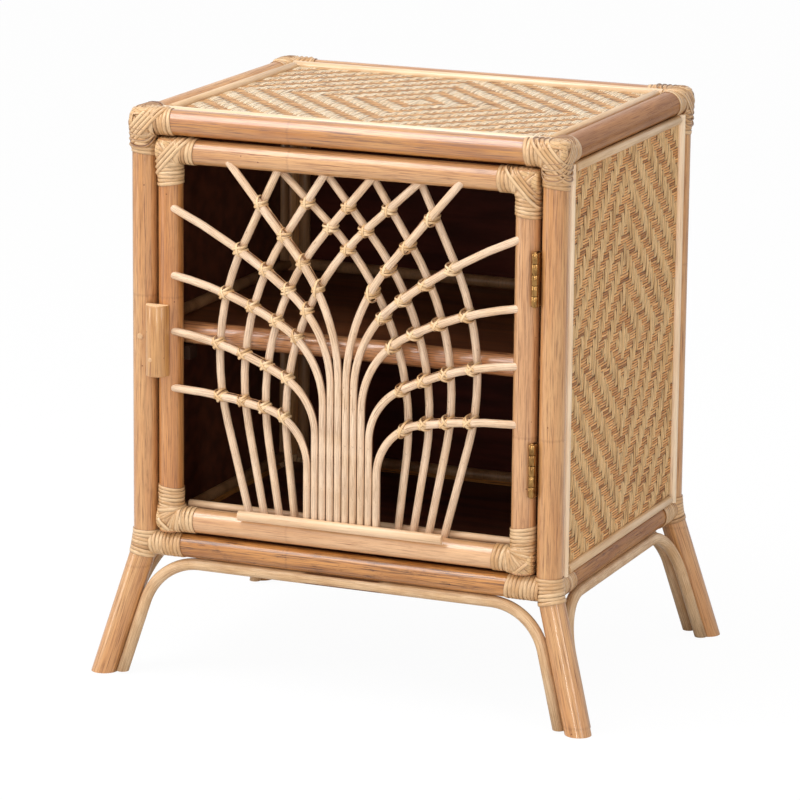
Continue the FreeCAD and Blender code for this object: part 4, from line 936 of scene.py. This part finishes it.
def lash(found, front, back):
    """Ties two canes whose layers lie at front and back of the middle of the door."""
    spot, one, two = found
    one, two = Vector((one.x, 0, one.z)), Vector((two.x, 0, two.z))
    middle = (one + two if one.dot(two) > 0 else one - two).normalized()
    half_angle = math.acos(min(1, abs(middle.dot(one))))
    half_wide = CANE / 2 / math.cos(half_angle) + 0.1 * mm
    half_deep = (back - front) / 2 + CANE / 2 - 0.1 * mm
    centre = Vector((spot.x, DOOR_Y + (front + back) / 2, spot.z))
    across = middle.cross(Vector((0, 1, 0)))

    def wind(place, normal, deep, wide, width):
        tie_places.append(toned(turn_at(place, normal, (0, 1, 0), deep, wide, width)))

    for number in (-1, 0, 1):
        lean = across * random.uniform(-0.12, 0.12) + Vector((0, random.uniform(-0.08, 0.08), 0))
        spread = abs(number) * TIE_PITCH * math.tan(half_angle)
        swell = random.uniform(0, 0.25) * mm + (0.15 * mm if number == 0 else 0)
        wind(centre + middle * (number * TIE_PITCH), middle + lean, half_deep + swell,
             half_wide + spread * 0.7 + swell, TIE_WIDE)
    if half_angle > WIDE_CROSSING:
        wind(centre, across + middle * random.uniform(-0.15, 0.15), half_deep + 0.6 * mm,
             CANE / 2 / math.sin(half_angle) + 0.5 * mm, CROSS_WIDE)


bpy.ops.object.select_all(action="DESELECT")
bpy.ops.mesh.primitive_cylinder_add(vertices=8, radius=0.5 * mm, depth=1)
strand = bpy.context.object
strand_places = []


def carry_over(low, high):
    """From one tie to the next the peel runs on behind the cane as two thin strands."""
    run = Vector((high.x - low.x, 0, high.z - low.z))
    out = Vector((run.z, 0, -run.x)).normalized()
    out = out if out.z > 0 else -out
    for gap in (2.8 * mm, 4.3 * mm):
        middle = (low + high) / 2 + out * (gap + random.uniform(-0.2, 0.2) * mm)
        middle.y = DOOR_Y - LAYER + CANE / 2 - 0.3 * mm
        tilt = out * random.uniform(-0.9, 0.9) * mm
        grid = Matrix((out, Vector((0, 1, 0)), run + tilt)).transposed()
        strand_places.append(toned(Matrix.Translation(middle) @ grid.to_4x4()))


for side, layer in (("left", 0.0), ("right", LAYER)):
    for fan in range(5):
        passed = []
        for number in range(4):
            found = crossing("fan_%s_%d" % (side, fan), "upright_%s_%d" % (side, number))
            if found:
                lash(found, -LAYER, layer)
                passed.append(found[0])
        passed.sort(key=lambda spot: spot.z)
        for low, high in zip(passed, passed[1:]):
            carry_over(low, high)
for one in range(4):
    for two in range(4):
        found = crossing("upright_left_%d" % one, "upright_right_%d" % two)
        if found and found[0].z < RAIL_HIGH - DOOR_POLE / 2 - 4.5 * mm:
            lash(found, 0.0, LAYER)
tie_finish = peel_finish("tie_peel", (244, 210, 164), (228, 184, 130), (124, 76, 38))
finished(lay_copies("lattice_ties", tie_hoop, tie_places), "door", "rattan_peel", tie_finish,
         "cane_crossing_ties")
# The strands behind the canes take darker colours than the ties: painted shade.
shaded_strand_finish = peel_finish("strand_peel", (214, 170, 120), (184, 130, 80), (108, 62, 32))
finished(lay_copies("lattice_tie_strands", strand, strand_places), "door", "rattan_peel", shaded_strand_finish)
bpy.data.objects.remove(tie_hoop)
bpy.data.objects.remove(strand)

# ---------------------------------------------------------------- strips across the lattice
# Half-round strips pinned over the feet of the canes: a short pale one in front of the fan and one right
# across the door behind the uprights.
strip_x = strip_finish("cover_strip_rattan", 0, (240, 206, 168), (224, 184, 142), (150, 98, 58))
for name, node, half_long, y, level, half_width in (
        ("lattice_cover_strip", "cane_cover_strip", 106 * mm, -178.75 * mm, 171.6 * mm, 5 * mm),
        ("lattice_sill_bead", "door_sill_bead", 171.3 * mm, -151.25 * mm, 170.1 * mm, 4 * mm)):
    strip = half_round((-half_long, y, level), (1, 0, 0), 2 * half_long, (0, -1, 0), half_width, half_width)
    strip.name = name
    finished(strip, "door", "rattan_bead", strip_x, node)

# ---------------------------------------------------------------- bindings
# Glossy rattan peel of 3.7 mm, wound wet over every joint: turns fan round the inside of each corner and go
# on along the poles, and straps drawn slantwise over the outside of a corner hold them down.
PEEL = 3.7 * mm
OVERLAP = 1.04
LINING, LINING_ROUND = 0.3 * mm, 2.5 * mm
hoop = peel_hoop("peel_hoop", 0.04, 2.0)
strap_hoop = peel_hoop("strap_hoop", 0.04, 2.9)


def corner_turns(corner, a, b, radius, turns):
    """Turns that fan round the inner corner between the arms a and b of two poles."""
    corner, a, b = Vector(corner), Vector(a), Vector(b)
    inner = corner + (a + b) * radius
    for number in range(turns):
        swing = math.pi / 2 * number / (turns - 1)
        c, s = math.cos(swing), math.sin(swing)
        outward = -(a * c + b * s)
        long = 2 * radius / (c ** 8 + s ** 8) ** 0.125
        lift = random.uniform(0.3, 0.6) * mm
        normal = a * s - b * c + Vector((0, 0, random.uniform(-0.03, 0.03)))
        yield toned(turn_at(inner + outward * (long / 2), normal, outward, long / 2 + lift, radius + lift,
                            PEEL))


def arm_turns(start, way, radius, length, lean):
    """Turns side by side along one pole from start."""
    way = Vector(way)
    count = max(1, round(length / PEEL))
    for number in range(count):
        lift = random.uniform(0.35, 0.6) * mm
        tilt = Vector(lean) * (0.1 + 0.05 * math.sin(number * 1.7))
        yield toned(turn_at(Vector(start) + way * ((number + 0.5) * length / count), way + tilt,
                            way.orthogonal(), radius + lift, radius + lift, length / count * OVERLAP))


def slant_straps(corner, a, b, radius, reach_a, reach_b, straps):
    """Straps over the outside of a corner, from the outer side of arm a to the outer side of arm b."""
    corner, a, b = Vector(corner), Vector(a), Vector(b)
    for number in range(straps):
        step = (number - (straps - 1) / 2) * PEEL * 1.45
        end_a = corner + a * (reach_a + step) - b * radius
        end_b = corner + b * (reach_b + step) - a * radius
        line = end_b - end_a
        yield toned(turn_at((end_a + end_b) / 2, a * -line.dot(b) + b * line.dot(a), line,
                            line.length / 2 + 0.5 * mm, radius + 1.2 * mm, PEEL))


def stand_along(piece, start, way):
    """Lays an upright piece with its middle at start and its length along way."""
    turned = Vector((0, 0, 1)).rotation_difference(way).to_matrix().to_4x4()
    place_mesh(piece, Matrix.Translation(start) @ turned)


def binding(name, body, hoops, straps, arms, node):
    """All the turns of a kind of joint as one piece, and under them along every arm a lining of peel painted
    darker, as shade.
    """
    turns = lay_copies(name, hoop, hoops)
    if straps:
        turns = join(name, [turns, lay_copies(name + "_straps", strap_hoop, straps)])
    finished(turns, body, "rattan_peel", binding_finish, node)
    lining = []
    for start, way, radius, length in arms:
        bar = round_bar(32, radius + LINING, length)
        ease_rims(bar, LINING_ROUND, 4)
        stand_along(bar, Vector(start) + way * (length / 2), way)
        lining.append(bar)
    finished(join(name + "_lining", lining), body, "rattan_peel", shaded_lining_finish)


binding_finish = peel_finish("binding_peel", (224, 186, 140), (202, 154, 102), (100, 56, 26))
# The peel lining under the turns is painted shade: darker peel, with dark seams painted between turns, plus
# fibre fluff.
shaded_lining_finish, surface, place = new_finish("peel_lining", "Object", Roughness=0.42, Coat_Weight=0.3)
lx, ly, lz = place.parts()
strips = (lx * 90.0 + ly * 60.0 + lz * 270.0).fraction()
fluff = place.noise(lx * 500.0, ly * 500.0, lz * 500.0, 4.0)
seam_shade_and_fluff = abs(strips - 0.5).ease(0.38, 0.48) * 0.6 + fluff.ease(0.5, 0.8) * 0.4
seam_shade_and_fluff.at_most(1.0).between((214, 172, 120), (112, 68, 34)).feed(surface.inputs["Base Color"])
bump(surface, 1.0 - seam_shade_and_fluff, 0.4, 0.4 * mm)
TOP_BIND, TOP_DROP = 30.5 * mm, 32 * mm
hoops, straps, lined = [], [], []
for sx in (-1, 1):
    for sy in (-1, 1):
        corner = Vector((sx * POST[0], sy * POST[1], TOP_LEVEL))
        arms = (Vector((-sx, 0, 0)), Vector((0, -sy, 0)), Vector((0, 0, -1)))
        for one, two in ((0, 2), (1, 2), (0, 1)):
            straps += corner_turns(corner, arms[one], arms[two], POLE / 2, 10)
        for arm, reach in ((arms[0], TOP_BIND), (arms[1], TOP_BIND), (arms[2], TOP_DROP)):
            back = (POLE / 2 - 1.2 * mm) if arm is not arms[2] else 12.2 * mm
            lined.append((corner - arm * back, arm, POLE / 2, reach + back - 0.6 * mm))
            hoops += arm_turns(corner + arm * POLE / 2, arm, POLE / 2, reach - POLE / 2, arm.orthogonal())
        for arm, reach in ((arms[0], 15 * mm), (arms[1], 14 * mm)):
            straps += slant_straps(corner, arm, arms[2], POLE / 2, reach, reach + 2 * mm, 4)
binding("top_corner_windings", "cabinet", hoops, straps, lined, "top_corner_bindings")

DOOR_BIND, DOOR_DROP = 28 * mm, 33 * mm
door_radius = DOOR_POLE / 2
hoops, straps, lined = [], [], []
for sx in (-1, 1):
    for level, rise in ((RAIL_HIGH, 1), (RAIL_LOW, -1)):
        corner = Vector((sx * STILE, DOOR_Y, level))
        rail, stile = Vector((-sx, 0, 0)), Vector((0, 0, -rise))
        straps += corner_turns(corner, rail, stile, door_radius, 12)
        for arm, reach, lean in ((rail, DOOR_BIND, stile), (stile, DOOR_DROP, rail)):
            lined.append((corner - arm * (door_radius + 0.2 * mm), arm, door_radius,
                          reach + door_radius - 0.4 * mm))
            hoops += arm_turns(corner + arm * door_radius, arm, door_radius, reach - door_radius, lean)
        reach_a, reach_b, count = (16 * mm, 18 * mm, 3) if rise > 0 else (5 * mm, 3 * mm, 1)
        straps += slant_straps(corner, rail, stile, door_radius, reach_a, reach_b, count)
binding("door_corner_windings", "door", hoops, straps, lined, "door_corner_bindings")

# At the base joints the turns also follow the post into its bend, as far as the leg's splay.
BASE_BIND, BAND, BAND_TURNS = 41.5 * mm, 26 * mm, 7
BEND_RADIUS, BEND_TOP, BEND_END = 100 * mm, 147.5 * mm, math.radians(17.58)
hoops, lined = [], []
for sx in (-1, 1):
    for sy in (-1, 1):
        away = Vector((sx * SPLAY[0], sy * SPLAY[1], 0)).normalized()
        for number in range(BAND_TURNS):
            level = BASE_LEVEL + BAND * (0.5 - (number + 0.5) / BAND_TURNS)
            swing = min(math.asin(max(0, BEND_TOP - level) / BEND_RADIUS), BEND_END)
            post = Vector((sx * POST[0], sy * POST[1], level))
            normal = Vector((random.uniform(-0.05, 0.05), 0, 1)) - away * math.sin(swing)
            radius = POLE / 2 + random.uniform(0.4, 0.8) * mm
            hoops.append(toned(turn_at(post + away * BEND_RADIUS * (1 - math.cos(swing)), normal, (1, 0, 0),
                                       radius, radius, BAND / BAND_TURNS * OVERLAP)))
        corner = Vector((sx * POST[0], sy * POST[1], BASE_LEVEL))
        for arm in (Vector((-sx, 0, 0)), Vector((0, -sy, 0))):
            hoops += arm_turns(corner + arm * 7 * mm, arm, BASE_POLE / 2, BASE_BIND - 7 * mm, (0, 0, 1))
            lined.append((corner + arm * 6 * mm, arm, BASE_POLE / 2, BASE_BIND - 6.4 * mm))
binding("base_joint_windings", "cabinet", hoops, [], lined, "base_joint_bindings")
bpy.data.objects.remove(hoop)
bpy.data.objects.remove(strap_hoop)

# ---------------------------------------------------------------- handle
# Half of a split 24 mm pole, 70 mm long, glued and screwed from behind to the front of the left stile. It
# overhangs the edge of the door, so that fingers find it.
HANDLE_PLACE = (-191.4 * mm, -179.1 * mm, 337 * mm)
HANDLE_HALF, HANDLE_LONG, HANDLE_PROUD = 12 * mm, 70 * mm, 13 * mm
handle = round_bar(48, HANDLE_HALF, HANDLE_LONG, HANDLE_PLACE)
handle.name = "split_pole_handle"
bpy.ops.object.mode_set(mode="EDIT")
bpy.ops.mesh.select_all(action="SELECT")
bpy.ops.mesh.bisect(plane_co=HANDLE_PLACE, plane_no=(0, 1, 0), clear_outer=True, use_fill=True)
bpy.ops.mesh.select_all(action="SELECT")
bpy.ops.transform.resize(value=(1, HANDLE_PROUD / HANDLE_HALF, 1), center_override=HANDLE_PLACE)
bpy.ops.object.mode_set(mode="OBJECT")
ease_rims(handle, 1.0 * mm, 3)
handle_finish = pole_finish("handle_rattan", 2, (212, 160, 102), (198, 140, 80), (140, 86, 44))
finished(handle, "door", "rattan_pole", handle_finish, "door_handle")
end_grain, surface, place = new_finish("handle_end_grain", "Object", Roughness=0.6)
pores = place.node("TexVoronoi", {}, {"Vector": place, "Scale": 1100.0, "Randomness": 1.0})
pores.ease(0.1, 0.45).between((176, 128, 82), (240, 204, 158)).feed(surface.inputs["Base Color"])
bump(surface, pores, 0.3, 0.2 * mm)
handle.data.materials.append(end_grain)
for face in handle.data.polygons:
    face.material_index = 1 if abs(face.normal.z) > 0.8 else 0


def eased_bar(sides, radius, length, place, ease):
    """A short round bar with eased rims."""
    bar = round_bar(sides, radius, length, place)
    ease_rims(bar, ease, 2)
    return bar


def dowel(name, body, place, way, radius, depth):
    """A short round plug with an eased rim, set into a pole along way."""
    plug = eased_bar(24, radius, depth, (0, 0, 0), 0.4 * mm)
    plug.name = name
    stand_along(plug, place, way)
    finished(plug, body, "rattan_pole", plug_finish)


plug_finish = strip_finish("plug_wood", 1, (228, 190, 146), (210, 166, 120), (150, 100, 60))
dowel("handle_plug", "door", (HANDLE_PLACE[0] - 2.6 * mm, HANDLE_PLACE[1] - 11.6 * mm, 319 * mm),
      Vector((-0.22, -1, 0)), 2.2 * mm, 3 * mm)

# ---------------------------------------------------------------- plug in the left post
# A short dowel of pale wood that fills the hole of a screw in the front left post. It is sanded off almost
# level with the pole.
dowel("post_plug", "cabinet", (-POST[0], -POST[1] - 11.2 * mm, 338.6 * mm), Vector((0, -1, 0)), 3 * mm,
      4 * mm)

# ---------------------------------------------------------------- hinges
# Two brass butt hinges of 51 mm. Their knuckles stand in front of the gap beside the right stile, and their
# leaves lie in shallow flats on the stile and the post, held by three screws each.
PIN = (195.0 * mm, -178.5 * mm)
KNUCKLE, KNUCKLES = 3.5 * mm, 5
HINGE = 51 * mm
LEAF, LEAF_THICK, LEAF_SET = 15 * mm, 1.5 * mm, 2.75 * mm
SCREW_HEAD, SCREW_SET, SCREW_PITCH, SLOT = 2.6 * mm, 9.5 * mm, 18 * mm, 0.35 * mm
hinge_pieces = {"cabinet": [], "door": []}


def screw_head():
    """A flat head with a slot across it, its top upwards."""
    head = eased_bar(16, SCREW_HEAD, 1.0 * mm, (0, 0, 0), 0.3 * mm)
    bpy.ops.object.mode_set(mode="EDIT")
    for edge in (SLOT, -SLOT):
        bpy.ops.mesh.select_all(action="SELECT")
        bpy.ops.mesh.bisect(plane_co=(edge, 0, 0), plane_no=(1, 0, 0))
    bpy.ops.object.mode_set(mode="OBJECT")
    for v in head.data.vertices:
        if abs(v.co.x) < 0.4 * mm and v.co.z > 0.3 * mm:
            v.co.z -= 0.45 * mm
    return head


for middle in (248.25 * mm, 430.25 * mm):
    for number in range(KNUCKLES):
        body = "cabinet" if number % 2 == 0 else "door"
        level = middle - HINGE / 2 + (number + 0.5) * HINGE / KNUCKLES
        hinge_pieces[body].append(
            eased_bar(28, KNUCKLE, HINGE / KNUCKLES - 0.3 * mm, (*PIN, level), 0.5 * mm))
    hinge_pieces["cabinet"].append(eased_bar(20, 1.7 * mm, HINGE + 2.2 * mm, (*PIN, middle), 0.8 * mm))
    for body, hand in (("cabinet", 1), ("door", -1)):
        bpy.ops.object.select_all(action="DESELECT")
        bpy.ops.mesh.primitive_cube_add(
            size=1, calc_uvs=False, location=(PIN[0] + hand * LEAF_SET, PIN[1] + LEAF / 2 + 0.6 * mm, middle),
            scale=(LEAF_THICK, LEAF - 1.2 * mm, HINGE))
        bpy.ops.object.transform_apply(location=True, rotation=True, scale=True)
        round_edges(bpy.context.object, 0.3 * mm, 2)
        hinge_pieces[body].append(bpy.context.object)
        for height in (-SCREW_PITCH, 0, SCREW_PITCH):
            head = screw_head()
            spot = (PIN[0] + hand * (LEAF_SET - 1.0 * mm), PIN[1] + SCREW_SET, middle + height)
            place_mesh(head, Matrix.Translation(spot) @ Matrix.Rotation(-hand * math.pi / 2, 4, "Y")
                       @ Matrix.Rotation(0.5 + height * 40, 4, "Z"))
            hinge_pieces[body].append(head)

brass, surface, place = new_finish("brass", "Object", Metallic=1.0, Roughness=0.2)
bx, by, bz = place.parts()
worn = place.noise(bx * 300.0, by * 300.0, bz * 120.0, 4.0, 0.6)
worn.ease(0.4, 0.75).between((176, 134, 80), (104, 68, 34)).feed(surface.inputs["Base Color"])
(0.12 + worn * 0.22).feed(surface.inputs["Roughness"])
bump(surface, worn, 0.15, 0.1 * mm)
for body, node in (("cabinet", "hinge_frame_leaves"), ("door", "hinge_door_leaves")):
    finished(join("brass_hinges_" + body, hinge_pieces[body]), body, "brass", brass, node)

# ---------------------------------------------------------------- catch
# A brown plastic magnetic catch under the front pole of the shelf, and the steel plate on the back of the
# left stile that it holds.
plastic, surface, place = new_finish("catch_plastic", "Object", Roughness=0.5, Specular_IOR_Level=0.15)
cx, cy, cz = place.parts()
speck = place.noise(cx * 900.0, cy * 900.0, cz * 900.0, 2.0)
speck.between((58, 38, 28), (40, 26, 20)).feed(surface.inputs["Base Color"])
bump(surface, speck, 0.2, 0.1 * mm)
dress("magnetic_catch", plastic)
steel, surface, place = new_finish("catch_steel", "Object", Metallic=1.0, Roughness=0.35)
sx, sy, sz = place.parts()
brushed = place.noise(sx * 120.0, sy * 900.0, sz * 1400.0, 3.0)
brushed.between((190, 190, 186), (150, 150, 148)).feed(surface.inputs["Base Color"])
(0.28 + brushed * 0.2).feed(surface.inputs["Roughness"])
dress("catch_strike_plate", steel)
